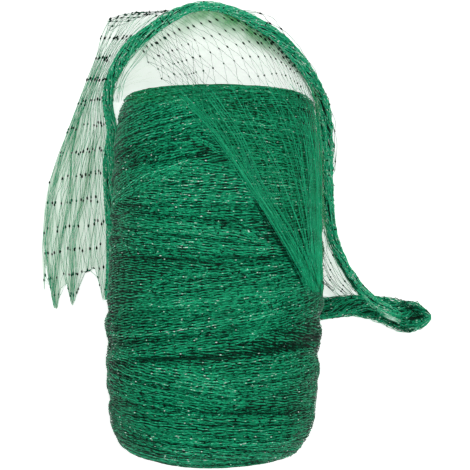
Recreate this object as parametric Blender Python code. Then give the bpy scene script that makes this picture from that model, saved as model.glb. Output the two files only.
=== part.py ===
"""A roll of diamond-mesh bird netting, lying on its side with its loose end spread around it.

The roll's axis runs along Y and it rests on a small flat spot at the origin. The loose end is one net in
three stretches: its selvedge gathered into a rope that makes an arch past the roll's end, a sheer fall at
the left, and the net between the arch and the roll, which runs on over the roll to the right side.
Sizes are in millimetres and become metres when a mesh is made.
"""
import math

import bmesh
import bpy
from mathutils import Vector

MM = 0.001

# The wound roll
ROLL_RADIUS = 86.5
FLAT_SPOT_DEPTH = 1.6
AXIS_HEIGHT = ROLL_RADIUS - FLAT_SPOT_DEPTH
ROLL_SIDES = 52
ROLL_RING_SPACING = 6.8

# Half of the roll's outline, from the arch end to the foot: along the axis, and out from it
ROLL_OUTLINE = (
    {"along": 149.0, "out": 0.0},
    {"along": 149.0, "out": 34.0},
    {"along": 148.0, "out": 58.0},
    {"along": 145.0, "out": 70.0},
    {"along": 139.0, "out": 78.5},
    {"along": 128.0, "out": 83.0},
    {"along": 95.0, "out": 85.2},
    {"along": 60.0, "out": 86.0},
    {"along": 10.0, "out": 86.8},
    {"along": -45.0, "out": 87.2},
    {"along": -66.0, "out": 86.0},
    {"along": -84.0, "out": 86.6},
    {"along": -100.0, "out": 84.8},
    {"along": -112.0, "out": 85.0},
    {"along": -122.0, "out": 82.8},
    {"along": -131.0, "out": 79.0},
    {"along": -139.0, "out": 72.0},
    {"along": -145.5, "out": 60.0},
    {"along": -149.5, "out": 42.0},
    {"along": -151.0, "out": 20.0},
    {"along": -151.0, "out": 0.0},
)

# The furrows that show between the wound layers: where each crosses the roll's crest, how far it climbs
# for each radian round the roll, its depth, its width and the angles from the crest between which it runs
FURROWS = (
    {"at": -61.5, "climb": 8.0, "depth": 2.8, "width": 5.0, "first": -1.5, "last": 1.4},
    {"at": 12.5, "climb": 1.0, "depth": 1.8, "width": 4.6, "first": -0.9, "last": 0.9},
    {"at": 92.5, "climb": 9.0, "depth": 2.0, "width": 4.6, "first": -1.1, "last": 0.3},
    {"at": -104.0, "climb": -4.0, "depth": 1.6, "width": 5.0, "first": -0.6, "last": 1.3},
    {"at": 50.0, "climb": -5.0, "depth": 1.4, "width": 4.6, "first": -1.2, "last": 0.8},
    {"at": -42.0, "climb": 6.0, "depth": 1.5, "width": 5.0, "first": 1.2, "last": 4.6},
    {"at": 70.0, "climb": -6.0, "depth": 1.6, "width": 5.0, "first": 1.4, "last": 4.9},
)

# Ropes of gathered net cross on the roll in two directions: pitch along the axis, climb for each radian
# round the roll, and how proud each stands
ROPES = (
    {"pitch": 24.0, "climb": 7.6, "proud": 0.75},
    {"pitch": 31.0, "climb": -4.9, "proud": 0.55},
    {"pitch": 17.0, "climb": -2.7, "proud": 0.4},
)
MOST_PROUD = sum(rope["proud"] for rope in ROPES)

# The gathered edge, seen from above, from its thin left tail over the arch to the loop at the right
EDGE_COURSE = (
    {"x": -97.8, "y": -26.0, "width": 2.4},
    {"x": -96.5, "y": 0.0, "width": 3.2},
    {"x": -95.8, "y": 26.6, "width": 4.4},
    {"x": -96.5, "y": 52.0, "width": 5.3},
    {"x": -96.9, "y": 79.0, "width": 7.0},
    {"x": -96.6, "y": 101.0, "width": 7.9},
    {"x": -94.2, "y": 125.0, "width": 8.3},
    {"x": -96.2, "y": 144.3, "width": 8.8},
    {"x": -95.2, "y": 161.0, "width": 9.4},
    {"x": -89.4, "y": 176.0, "width": 11.0},
    {"x": -78.5, "y": 193.4, "width": 11.9},
    {"x": -67.9, "y": 203.5, "width": 11.4},
    {"x": -57.4, "y": 211.6, "width": 11.0},
    {"x": -44.2, "y": 220.6, "width": 10.5},
    {"x": -28.4, "y": 228.6, "width": 8.8},
    {"x": -10.4, "y": 232.3, "width": 7.6},
    {"x": 12.9, "y": 227.6, "width": 8.2},
    {"x": 33.1, "y": 218.3, "width": 9.7},
    {"x": 52.4, "y": 205.6, "width": 10.3},
    {"x": 66.2, "y": 192.0, "width": 11.0},
    {"x": 78.0, "y": 176.3, "width": 11.4},
    {"x": 86.6, "y": 161.6, "width": 11.2},
    {"x": 93.4, "y": 145.2, "width": 10.5},
    {"x": 96.9, "y": 125.8, "width": 10.1},
    {"x": 97.6, "y": 105.6, "width": 9.4},
    {"x": 97.0, "y": 79.3, "width": 9.7},
    {"x": 98.0, "y": 53.0, "width": 10.1},
    {"x": 100.3, "y": 33.5, "width": 10.1},
    {"x": 104.8, "y": 19.0, "width": 9.0},
    {"x": 111.2, "y": 5.5, "width": 8.2},
    {"x": 118.6, "y": -6.5, "width": 8.3},
    {"x": 126.6, "y": -17.5, "width": 8.6},
    {"x": 136.0, "y": -26.5, "width": 9.8},
    {"x": 147.2, "y": -34.5, "width": 11.4},
    {"x": 158.5, "y": -41.0, "width": 13.0},
    {"x": 168.5, "y": -44.0, "width": 12.6},
)
EDGE_HEIGHT_SHARE = 0.68
EDGE_LEAST_HEIGHT = 1.9
EDGE_STATION_SPACING = 8.5
EDGE_SIDES = 9
EDGE_STRANDS = 3
EDGE_TWIST_LENGTH = 62.0
EDGE_TWIST_PROUD = 0.09

# Where the right leg rides up over the loop on its way to the loop's near side
CROSSING = {"from_x": 122.0, "top_x": 143.0, "to_x": 166.0, "lift": 5.0}

# The loop at the edge's end, from under the roll's side to its tip
LOOP_COURSE = (
    {"x": 42.0, "y": -34.6, "width": 14.0},
    {"x": 50.0, "y": -34.5, "width": 15.0},
    {"x": 66.0, "y": -34.4, "width": 17.5},
    {"x": 82.0, "y": -34.0, "width": 19.0},
    {"x": 98.9, "y": -33.1, "width": 20.2},
    {"x": 118.2, "y": -30.2, "width": 18.4},
    {"x": 139.3, "y": -29.4, "width": 17.2},
    {"x": 151.6, "y": -31.8, "width": 19.6},
    {"x": 162.1, "y": -35.2, "width": 25.0},
    {"x": 171.5, "y": -38.2, "width": 23.6},
    {"x": 178.5, "y": -39.6, "width": 17.0},
    {"x": 182.6, "y": -40.2, "width": 9.0},
)
LOOP_HEIGHT_SHARE = 0.42
LOOP_SIDES = 11

# Sheets of net
NET_THICKNESS = 1.5
NET_MIDDLE = 0.8
BAR_WIDTH = 1.3
LEAST_GAP = 2.2
TOUCH_GAP = 0.35

# The sheer fall, from the arch to its cut tufts: its left edge at each row of knots, the place along the
# gathered edge, counted in rows of EDGE_COURSE, that its right edge lies against, and how proud its
# folds lie
FALL_ROWS = (
    {"left": (-97.4, 220.3), "place": 12.6, "fold": 0.0},
    {"left": (-102.5, 205.3), "place": 10.7, "fold": 0.5},
    {"left": (-107.7, 187.7), "place": 9.6, "fold": 1.0},
    {"left": (-114.8, 168.3), "place": 8.5, "fold": 1.5},
    {"left": (-123.2, 147.2), "place": 7.45, "fold": 2.0},
    {"left": (-131.5, 124.3), "place": 6.35, "fold": 2.4},
    {"left": (-140.3, 101.4), "place": 5.35, "fold": 2.6},
    {"left": (-147.4, 79.4), "place": 4.4, "fold": 2.8},
    {"left": (-151.8, 58.3), "place": 3.5, "fold": 2.8},
    {"left": (-153.4, 35.4), "place": 2.7, "fold": 2.6},
    {"left": (-154.6, 14.3), "place": 1.9, "fold": 2.2},
    {"left": (-153.5, -7.7), "place": 1.1, "fold": 1.4},
    {"left": (-152.6, -22.7), "place": 0.2, "fold": 0.0},
)
FALL_COLUMNS = 7
FALL_FOLDS = 2.5
# How far each cut tuft reaches past the last row, from left to right
TUFT_REACH = (1.0, 12.5, 7.3, 5.8, 7.7, 3.5, 10.8)

# The net between the arch and the roll. Each row is one line across it: the place along the rope or the
# loop that it leaves from, counted in rows of that course, and where it ends on the roll
DRAPE_LINES = (
    {"of": "rope", "place": 7.3, "free": (-60.0, 133.0)},
    {"of": "rope", "place": 9.0, "free": (-50.0, 134.0)},
    {"of": "rope", "place": 10.8, "free": (-39.0, 133.5)},
    {"of": "rope", "place": 13.0, "free": (-26.0, 130.0)},
    {"of": "rope", "place": 14.9, "free": (-13.0, 122.0)},
    {"of": "rope", "place": 16.2, "free": (-1.3, 107.5)},
    {"of": "rope", "place": 17.3, "free": (12.0, 89.0)},
    {"of": "rope", "place": 18.5, "free": (24.0, 72.5)},
    {"of": "rope", "place": 19.8, "free": (35.0, 57.5)},
    {"of": "rope", "place": 21.2, "free": (44.5, 45.0)},
    {"of": "rope", "place": 22.7, "free": (52.5, 34.5)},
    {"of": "rope", "place": 24.0, "free": (59.0, 25.5)},
    {"of": "rope", "place": 25.2, "free": (64.5, 17.5)},
    {"of": "rope", "place": 26.4, "free": (69.5, 10.5)},
    {"of": "rope", "place": 27.8, "free": (74.0, 4.0)},
    {"of": "rope", "place": 29.2, "free": (78.0, -2.0)},
    {"of": "rope", "place": 30.4, "free": (81.0, -7.0)},
    {"of": "loop", "place": 4.9, "free": (83.2, -11.0)},
    {"of": "loop", "place": 4.3, "free": (84.8, -14.5)},
)
DRAPE_COLUMNS = 20
DRAPE_ROWS = 8
DRAPE_CLEARANCE = 2.8
DRAPE_FREE_CLEARANCE = 2.4
# The net bridges the roll's rounded shoulder, so past this place it keeps the radius that it has there
SHOULDER_START = 126.0
SAG_REACH = 60.0
MOST_SAG_POWER = 2.3
PROFILE_STEPS = 90

GREEN = {"base": (0.004, 0.235, 0.095, 1.0), "roughness": 0.42}
BRIGHT_GREEN = {"base": (0.006, 0.29, 0.125, 1.0), "roughness": 0.4}


def between(low, high, share):
    """The value a share of the way from low to high."""
    return low + (high - low) * share


def smooth(value):
    """0 to 1 with a soft start and end."""
    value = min(1.0, max(0.0, value))
    return value * value * (3.0 - 2.0 * value)


def read_table(rows, key, name, place):
    """The value in column name where column key, which rises or falls down the table, equals place."""
    for row, after in zip(rows, rows[1:]):
        low, high = sorted((row[key], after[key]))
        if low <= place <= high and high > low:
            return between(row[name], after[name], (place - row[key]) / (after[key] - row[key]))
    return rows[0][name] if abs(place - rows[0][key]) < abs(place - rows[-1][key]) else rows[-1][name]


def curve_point(points, place):
    """A smooth curve through points, place counting from one point to the next."""
    last = len(points) - 1
    start = min(int(place), last - 1)
    share = place - start
    before, here, there, beyond = (
        points[min(max(start + step, 0), last)] for step in (-1, 0, 1, 2)
    )
    return tuple(
        0.5 * (2 * h + (t - b) * share + (2 * b - 5 * h + 4 * t - f) * share**2
               + (3 * h - b - 3 * t + f) * share**3)
        for b, h, t, f in zip(before, here, there, beyond)
    )


def evenly_along(points, spacing):
    """Points about spacing apart along a smooth curve through the given ones."""
    fine = [curve_point(points, step / 12) for step in range(12 * (len(points) - 1) + 1)]
    walked = [0.0]
    for one, two in zip(fine, fine[1:]):
        walked.append(walked[-1] + math.dist(one[:2], two[:2]))
    count = max(2, round(walked[-1] / spacing))
    found = []
    at = 0
    for step in range(count + 1):
        target = walked[-1] * step / count
        while at < len(fine) - 2 and walked[at + 1] < target:
            at += 1
        stretch = walked[at + 1] - walked[at]
        share = min(1.0, (target - walked[at]) / stretch)
        found.append(tuple(between(a, b, share) for a, b in zip(fine[at], fine[at + 1])))
    return found


def finish_object(name, mesh_builder, look):
    """An object named name from a bmesh in millimetres, with its own material."""
    bmesh.ops.scale(mesh_builder, vec=(MM, MM, MM), verts=mesh_builder.verts)
    bmesh.ops.recalc_face_normals(mesh_builder, faces=mesh_builder.faces)
    mesh = bpy.data.meshes.new(name)
    mesh_builder.to_mesh(mesh)
    mesh_builder.free()
    made = bpy.data.objects.new(name, mesh)
    bpy.context.scene.collection.objects.link(made)
    material = bpy.data.materials.new(name)
    material.use_nodes = True
    shader = material.node_tree.nodes["Principled BSDF"]
    shader.inputs["Base Color"].default_value = look["base"]
    shader.inputs["Roughness"].default_value = look["roughness"]
    shader.inputs["Metallic"].default_value = 0.0
    mesh.materials.append(material)
    mesh.shade_smooth()
    return made


def rope_relief(along, angle):
    """How far the wound ropes and furrows lift or sink the roll's surface."""
    lift = 0.0
    for rope in ROPES:
        phase = (along - rope["climb"] * math.sin(angle)) / rope["pitch"]
        lift += rope["proud"] * (2.0 * abs(math.sin(math.pi * phase)) - 1.0)
    for furrow in FURROWS:
        turned = angle if angle >= furrow["first"] else angle + 2.0 * math.pi
        if turned > furrow["last"]:
            continue
        ends = smooth((turned - furrow["first"]) / 0.25) * smooth((furrow["last"] - turned) / 0.25)
        away = (along - furrow["at"] - furrow["climb"] * turned) / furrow["width"]
        lift -= ends * furrow["depth"] * math.exp(-away * away)
    return lift


def roll_reach(along):
    """The roll's radius at a place along its axis, without its ropes."""
    return read_table(ROLL_OUTLINE[1:-1], "along", "out", along)


def build_roll():
    """The wound form: an outline spun round the axis, then lifted and sunk by its ropes and furrows."""
    outline = evenly_along([(row["along"], row["out"]) for row in ROLL_OUTLINE], ROLL_RING_SPACING)
    outline[0] = (ROLL_OUTLINE[0]["along"], 0.0)
    outline[-1] = (ROLL_OUTLINE[-1]["along"], 0.0)
    bm = bmesh.new()
    profile = [bm.verts.new((0.0, along, out)) for along, out in outline]
    edges = [bm.edges.new(pair) for pair in zip(profile, profile[1:])]
    bmesh.ops.spin(
        bm, geom=profile + edges, cent=(0, 0, 0), axis=(0, 1, 0), dvec=(0, 0, 0),
        angle=2.0 * math.pi, steps=ROLL_SIDES, use_merge=True, use_normal_flip=False, use_duplicate=False,
    )
    bmesh.ops.remove_doubles(bm, verts=bm.verts, dist=0.01)
    for vert in bm.verts:
        out = math.hypot(vert.co.x, vert.co.z)
        if out > 1.0:
            angle = math.atan2(vert.co.x, vert.co.z)
            fade = smooth((out - 20.0) / 40.0)
            lifted = out + rope_relief(vert.co.y, angle) * fade
            vert.co.x *= lifted / out
            vert.co.z *= lifted / out
        vert.co.z = max(vert.co.z + AXIS_HEIGHT, 0.0)
    return finish_object("wound_roll", bm, GREEN)


def beside(course, place, hand):
    """The point on the floor just clear of a course's flank, on its right where hand is 1."""
    points = [tuple(row.values()) for row in course]
    x, y, width = curve_point(points, place)
    ahead = curve_point(points, min(place + 0.2, len(points) - 1))
    behind = curve_point(points, max(place - 0.2, 0.0))
    heading = Vector((ahead[0] - behind[0], ahead[1] - behind[1])).normalized()
    reach = 0.5 * width * (1.0 + EDGE_TWIST_PROUD) + TOUCH_GAP + 0.5 * NET_THICKNESS
    return (x + hand * heading.y * reach, y - hand * heading.x * reach)


def sweep_on_floor(stations, sides, height_share, strands, lift_at):
    """A flat-bottomed rope along stations of (x, y, width), as one closed bmesh.

    Its section is a low dome whose rim swells with the rope's twisted strands."""
    bm = bmesh.new()
    rings = []
    walked = 0.0
    for number, (x, y, width) in enumerate(stations):
        before = Vector(stations[max(number - 1, 0)][:2])
        after = Vector(stations[min(number + 1, len(stations) - 1)][:2])
        heading = (after - before).normalized()
        if number:
            walked += math.dist(stations[number - 1][:2], (x, y))
        side = Vector((heading.y, -heading.x))
        height = max(EDGE_LEAST_HEIGHT, width * height_share)
        foot = lift_at(x)
        ring = []
        for step in range(sides):
            angle = math.pi * (1.0 + 2.0 * step / sides) + math.pi / 2.0
            twist = strands * (angle - 2.0 * math.pi * walked / EDGE_TWIST_LENGTH)
            swell = 1.0 + EDGE_TWIST_PROUD * math.cos(twist)
            across = 0.5 * width * math.cos(angle) * swell
            up = height * (0.5 + 0.5 * math.sin(angle) * swell)
            up = 0.0 if step in (0, 1, sides - 1) else max(up, 0.12 * height)
            ring.append(bm.verts.new((x + side.x * across, y + side.y * across, up + foot)))
        rings.append(ring)
    for one, two in zip(rings, rings[1:]):
        for step in range(sides):
            after = (step + 1) % sides
            bm.faces.new((one[step], one[after], two[after], two[step]))
    bm.faces.new(rings[0])
    bm.faces.new(rings[-1])
    return bm


def crossing_lift(x):
    """How far the right leg is lifted where it rides over the loop."""
    if x <= CROSSING["from_x"]:
        return 0.0
    if x <= CROSSING["top_x"]:
        return CROSSING["lift"] * smooth((x - CROSSING["from_x"]) / (CROSSING["top_x"] - CROSSING["from_x"]))
    return CROSSING["lift"] * (1.0 - smooth((x - CROSSING["top_x"]) / (CROSSING["to_x"] - CROSSING["top_x"])))


def build_gathered_edge():
    """The gathered selvedge: the long rope and the loop at its end, fused where the rope folds back."""
    course = evenly_along([tuple(row.values()) for row in EDGE_COURSE], EDGE_STATION_SPACING)
    loop = evenly_along([tuple(row.values()) for row in LOOP_COURSE], EDGE_STATION_SPACING)
    rope = finish_object(
        "gathered_edge",
        sweep_on_floor(course, EDGE_SIDES, EDGE_HEIGHT_SHARE, EDGE_STRANDS, crossing_lift),
        BRIGHT_GREEN,
    )
    fold = finish_object(
        "edge_loop",
        sweep_on_floor(loop, LOOP_SIDES, LOOP_HEIGHT_SHARE, EDGE_STRANDS + 1, lambda x: 0.0),
        BRIGHT_GREEN,
    )
    fold.hide_render = True
    fold.display_type = "WIRE"
    fuse = rope.modifiers.new("fuse loop", "BOOLEAN")
    fuse.operation = "UNION"
    fuse.solver = "EXACT"
    fuse.object = fold
    return rope


def opening_width(face):
    """The width of the opening that a mesh leaves once its bars are taken off."""
    return 4.0 * face.calc_area() / face.calc_perimeter() - BAR_WIDTH


def diamond_net(columns, rows, place, tufts):
    """A sheet of diamond mesh over a grid, as a bmesh. place(u, v) gives its point for shares u and v.

    The diamonds stand on alternate rows of knots. Each one that is wide enough is cut through. With tufts
    the last row is left whole and ends in points; without them it is closed off in a straight edge."""
    bm = bmesh.new()
    knots = {}

    def knot(half_column, row):
        key = (half_column, row)
        if key not in knots:
            knots[key] = bm.verts.new(place(half_column / (2.0 * columns), row / rows))
        return knots[key]

    cells = []
    for row in range(rows if tufts else rows + 1):
        for column in range(row % 2, 2 * columns + 1, 2):
            corners = [
                (column, row - 1),
                (min(column + 1, 2 * columns), row),
                (column, row + 1),
                (max(column - 1, 0), row),
            ]
            corners = [corner for corner in dict.fromkeys(corners) if 0 <= corner[1] <= rows]
            face = bm.faces.new([knot(*corner) for corner in corners])
            if not (tufts and row == rows - 1):
                cells.append(face)
    bm.normal_update()
    wide = [face for face in cells if opening_width(face) > LEAST_GAP]
    bmesh.ops.inset_individual(bm, faces=wide, thickness=0.5 * BAR_WIDTH, depth=0.0, use_even_offset=True)
    bmesh.ops.delete(bm, geom=wide, context="FACES_ONLY")
    print("gaps cut:", len(wide))
    return bm


def thicken(made):
    """Gives a sheet its thickness, half to each side."""
    wall = made.modifiers.new("thickness", "SOLIDIFY")
    wall.thickness = NET_THICKNESS * MM
    wall.offset = 0.0
    wall.use_even_offset = False
    return made


def build_loose_fall():
    """The sheer net that lies at the left."""
    rows = [(*row["left"], *beside(EDGE_COURSE, row["place"], -1), row["fold"]) for row in FALL_ROWS]

    def fall_place(u, v):
        left_x, left_y, right_x, right_y, fold = curve_point(rows, v * (len(rows) - 1))
        lift = fold * math.sin(math.pi * FALL_FOLDS * u) ** 2 * smooth(u / 0.1) * smooth((1.0 - u) / 0.1)
        reach = TUFT_REACH[int(u * FALL_COLUMNS)] if v > 0.999 else 0.0
        return (between(left_x, right_x, u), between(left_y, right_y, u) - reach, NET_MIDDLE + lift)

    bm = diamond_net(FALL_COLUMNS, len(FALL_ROWS) - 1, fall_place, True)
    return thicken(finish_object("loose_fall", bm, GREEN))


def cloth_radius(y, clearance):
    """How far from the roll's axis a cloth on it lies at y, or 0 past the roll's ends."""
    if not ROLL_OUTLINE[-1]["along"] < y < ROLL_OUTLINE[0]["along"]:
        return 0.0
    return roll_reach(min(y, SHOULDER_START)) + MOST_PROUD + clearance


def drape_profile(edge, free):
    """The net's run in the upright plane from the gathered edge to its free end, as points.

    From the edge it rises to the first place where it meets the roll, sagging towards the floor, and from
    there it lies on the roll."""
    length = math.dist(edge, free)
    samples = []
    for step in range(1, PROFILE_STEPS + 1):
        share = step / PROFILE_STEPS
        x = between(edge[0], free[0], share)
        y = between(edge[1], free[1], share)
        out = cloth_radius(y, between(DRAPE_CLEARANCE, DRAPE_FREE_CLEARANCE, smooth((share - 0.8) / 0.2)))
        top = AXIS_HEIGHT + math.sqrt(out * out - x * x) if abs(x) < out else None
        samples.append((share, x, y, out, top))
    touching = [row for row in samples if row[4] is not None]
    meet = max(touching, key=lambda row: (row[4] - NET_MIDDLE) / (row[0] * length))
    power = 1.0 + (MOST_SAG_POWER - 1.0) * smooth((meet[0] * length - 10.0) / SAG_REACH)
    points = [(*edge, NET_MIDDLE)]
    for share, x, y, out, top in samples:
        if share >= meet[0]:
            points.append((x, y, top))
            continue
        height = between(NET_MIDDLE, meet[4], (share / meet[0]) ** power)
        from_axis = math.hypot(x, height - AXIS_HEIGHT)
        push = max(1.0, out / from_axis)
        points.append((x * push, y, AXIS_HEIGHT + (height - AXIS_HEIGHT) * push))
    return points


def build_draped_net():
    """The net from the arch over the roll's end and front, down to the edge at the right."""
    courses = {"rope": (EDGE_COURSE, 1), "loop": (LOOP_COURSE, -1)}
    ends = []
    for row in DRAPE_LINES:
        course, hand = courses[row["of"]]
        ends.append((*beside(course, row["place"], hand), *row["free"]))
    profiles = {}

    def drape_place(u, v):
        if u not in profiles:
            edge_x, edge_y, free_x, free_y = curve_point(ends, u * (len(ends) - 1))
            points = drape_profile((edge_x, edge_y), (free_x, free_y))
            walked = [0.0]
            for one, two in zip(points, points[1:]):
                walked.append(walked[-1] + math.dist(one, two))
            profiles[u] = (points, walked)
        points, walked = profiles[u]
        target = v * walked[-1]
        at = max(step for step in range(len(points) - 1) if walked[step] <= target + 1e-9)
        share = min(1.0, (target - walked[at]) / (walked[at + 1] - walked[at]))
        return tuple(between(a, b, share) for a, b in zip(points[at], points[at + 1]))

    bm = diamond_net(DRAPE_COLUMNS, DRAPE_ROWS, drape_place, False)
    return thicken(finish_object("draped_net", bm, GREEN))


def main():
    for old in list(bpy.data.objects):
        bpy.data.objects.remove(old, do_unlink=True)
    build_roll()
    build_gathered_edge()
    build_loose_fall()
    build_draped_net()


main()
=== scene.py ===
# %% [markdown]
# # A roll of bird netting
#
# Bird netting is a diamond mesh of thin green plastic twine. It is sold gathered like a rope and wound into a
# dense roll. Here the roll lies on its side, and its loose end is spread over and around it. Everything is
# one kind of material, thousands of thin strands with small knots, so most of this lesson is about drawing
# strands well: where they run, how thick they are, and how their colour changes.

import math

import bmesh
import bpy
import numpy as np
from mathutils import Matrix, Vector
from mathutils.bvhtree import BVHTree


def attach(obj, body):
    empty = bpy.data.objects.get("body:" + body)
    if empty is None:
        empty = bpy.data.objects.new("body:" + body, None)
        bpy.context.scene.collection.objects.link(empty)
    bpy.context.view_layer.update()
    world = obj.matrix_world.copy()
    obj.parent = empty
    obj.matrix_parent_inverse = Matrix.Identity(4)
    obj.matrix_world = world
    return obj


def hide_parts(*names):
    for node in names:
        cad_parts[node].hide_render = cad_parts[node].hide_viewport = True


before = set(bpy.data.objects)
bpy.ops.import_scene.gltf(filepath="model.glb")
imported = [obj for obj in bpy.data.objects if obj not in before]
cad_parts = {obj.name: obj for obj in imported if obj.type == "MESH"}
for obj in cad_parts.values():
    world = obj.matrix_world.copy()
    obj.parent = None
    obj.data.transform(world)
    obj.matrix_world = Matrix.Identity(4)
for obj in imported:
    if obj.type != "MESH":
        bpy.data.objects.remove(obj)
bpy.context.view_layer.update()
MM = 0.001
chance = np.random.default_rng(20)
print("nodes:", sorted(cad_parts))


# %% [markdown]
# ## The camera
#
# The roll is seen from straight above, from a little over a metre away. A long lens from further off would
# flatten the roll, and a short one from close by would hide its sides.

# %% Place the camera
CAMERA_PLACE = (0.0155, 0.031, 1.25)
LENS_MM = 108.69
SENSOR_MM = 36.0


def place_object(name, data):
    """Puts a mesh, light or camera in the scene."""
    made = bpy.data.objects.new(name, data)
    bpy.context.scene.collection.objects.link(made)
    return made


camera = place_object("camera", bpy.data.cameras.new("camera"))
camera.location = CAMERA_PLACE
camera.data.lens = LENS_MM
camera.data.sensor_width = SENSOR_MM
bpy.context.scene.camera = camera
print("camera at", CAMERA_PLACE, "with a lens of", LENS_MM, "mm")


# %% [markdown]
# ## One way to add nodes
#
# Materials and the tool that thickens strands are both node trees. A small class adds a node, sets it up and
# fills its sockets in one call. A second class wraps a number's socket, so that shader maths can be written
# as plain expressions.

# %% Write nodes and their maths
class Graph:
    def __init__(self, tree):
        self.tree = tree

    def node(self, kind, settings=None, sockets=None):
        made = self.tree.nodes.new(kind)
        for name, value in (settings or {}).items():
            if name == "stops":
                self.set_stops(made.color_ramp, value)
            else:
                setattr(made, name, value)
        for name, value in (sockets or {}).items():
            socket = made.inputs[name]
            if isinstance(value, Number):
                value = value.socket
            if isinstance(value, bpy.types.NodeSocket):
                self.tree.links.new(value, socket)
            else:
                socket.default_value = value
        return made

    def set_stops(self, ramp, stops):
        while len(ramp.elements) < len(stops):
            ramp.elements.new(0.5)
        for element, (place, colour) in zip(ramp.elements, stops):
            element.position = place
            element.color = (*colour, 1.0)

    def number(self, socket):
        return Number(self, socket)


class Number:
    def __init__(self, graph, socket):
        self.graph = graph
        self.socket = socket

    def maths(self, operation, first, second):
        sockets = {0: first, 1: second}
        made = self.graph.node("ShaderNodeMath", {"operation": operation}, sockets)
        return Number(self.graph, made.outputs[0])

    def __add__(self, other):
        return self.maths("ADD", self, other)

    def __radd__(self, other):
        return self.maths("ADD", other, self)

    def __sub__(self, other):
        return self.maths("SUBTRACT", self, other)

    def __rsub__(self, other):
        return self.maths("SUBTRACT", other, self)

    def __mul__(self, other):
        return self.maths("MULTIPLY", self, other)

    def __rmul__(self, other):
        return self.maths("MULTIPLY", other, self)


# %% [markdown]
# ## The finish of the twine
#
# The real twine is dyed polyethylene: a clear, slightly bluish green, waxy rather than glossy. The tone
# ramp's pale top is painted highlight, for light that comes through the twine and glints on it, and its
# near-black bottom is painted shade, where strands crowd together. Each strand gets its own tone, and along
# it the tone wanders a little at random, which makes painted glints where it reaches the ramp's pale top.
# Both come from the strand's own map: across the map lies the tone, and up the map the place along the
# strand. A pattern on the object's coordinates would cut across strands that lie side by side, which is why
# the map is used.

# %% Make the twine's finish
STRAND_MAP = "OFBake"
# The near-black low stops are painted shade, and the pale top stops painted highlights and glints
TWINE_TONES = (
    (0.00, (0.000, 0.006, 0.003)),
    (0.12, (0.000, 0.022, 0.011)),
    (0.28, (0.000, 0.122, 0.057)),
    (0.50, (0.009, 0.362, 0.160)),
    (0.72, (0.020, 0.505, 0.250)),
    (0.84, (0.060, 0.600, 0.330)),
    (0.93, (0.260, 0.690, 0.460)),
    (1.00, (0.720, 0.900, 0.810)),
)


# How often the tone wanders across the map, where strands differ, and along a strand
WANDER_SCALE = (23.0, 165.0, 1.0)
ROUGHNESS_SWING = 0.25
TWINE_SPECULAR = 0.07


def new_finish(name):
    """A material, the graph to add its nodes with, and its shader."""
    material = bpy.data.materials.new(name)
    material.use_nodes = True
    return material, Graph(material.node_tree), material.node_tree.nodes["Principled BSDF"]


def stretched_noise(graph, place, scale, detail, dimensions="3D"):
    """Noise on the given coordinates, stretched by a scale for each of them."""
    stretched = graph.node("ShaderNodeMapping", {"vector_type": "POINT"}, {"Vector": place, "Scale": scale})
    return graph.node("ShaderNodeTexNoise", {"noise_dimensions": dimensions}, {
        "Vector": stretched.outputs[0], "Scale": 1.0, "Detail": detail, "Roughness": 0.6,
    }).outputs[0]


def twine_finish(name, tones, roughness, wander):
    material, graph, shader = new_finish(name)
    place = graph.node("ShaderNodeUVMap", {"uv_map": STRAND_MAP}).outputs[0]
    drift = stretched_noise(graph, place, WANDER_SCALE, 2.0, "2D")
    across = graph.node("ShaderNodeSeparateXYZ", None, {"Vector": place}).outputs[0]
    tone = graph.number(across) + (graph.number(drift) - 0.5) * wander
    ramp = graph.node("ShaderNodeValToRGB", {"stops": tones}, {"Fac": tone})
    graph.tree.links.new(ramp.outputs[0], shader.inputs["Base Color"])
    waxy = roughness + (graph.number(drift) - 0.5) * ROUGHNESS_SWING
    graph.tree.links.new(waxy.socket, shader.inputs["Roughness"])
    shader.inputs["Specular IOR Level"].default_value = TWINE_SPECULAR
    return material


wound_twine = twine_finish("wound_twine", TWINE_TONES, roughness=0.40, wander=1.25)
loose_twine = twine_finish("loose_twine", TWINE_TONES, roughness=0.38, wander=0.6)
print("twine finishes:", wound_twine.name, loose_twine.name)


# %% [markdown]
# ## Strands from bare lines
#
# A strand is modelled as a line with a thickness. The script lays out the lines, and a Geometry Nodes tool
# sweeps a small three-sided ring along each of them. At this size a round section would cost four times the
# faces and look the same. The tool also writes the strand's map, because only it knows which way is round
# and which is along.

# %% Build the tool that thickens lines
ALONG_MAP_MM = 600.0
SIDE_SPREAD = 0.006


def new_tool(name):
    tree = bpy.data.node_groups.new(name, "GeometryNodeTree")
    tree.interface.new_socket("Geometry", in_out="INPUT", socket_type="NodeSocketGeometry")
    tree.interface.new_socket("Geometry", in_out="OUTPUT", socket_type="NodeSocketGeometry")
    graph = Graph(tree)
    return graph, graph.node("NodeGroupInput").outputs[0]


def close_tool(graph, geometry):
    graph.node("NodeGroupOutput", None, {0: geometry})
    return graph.tree


def stored(graph, name):
    """A number that the lines' points carry."""
    found = graph.node("GeometryNodeInputNamedAttribute", {"data_type": "FLOAT"}, {"Name": name})
    return found.outputs[0]


def mapped(graph, geometry, spread):
    """Writes the strand map: tone across, place along, with a little width for the sides."""
    across = graph.number(stored(graph, "tone")) + graph.number(spread) * SIDE_SPREAD
    place = graph.node("ShaderNodeCombineXYZ", None, {"X": across, "Y": stored(graph, "along")})
    return graph.node(
        "GeometryNodeStoreNamedAttribute", {"data_type": "FLOAT2", "domain": "CORNER"},
        {"Geometry": geometry, "Name": STRAND_MAP, "Value": place.outputs[0]},
    ).outputs[0]


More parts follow.
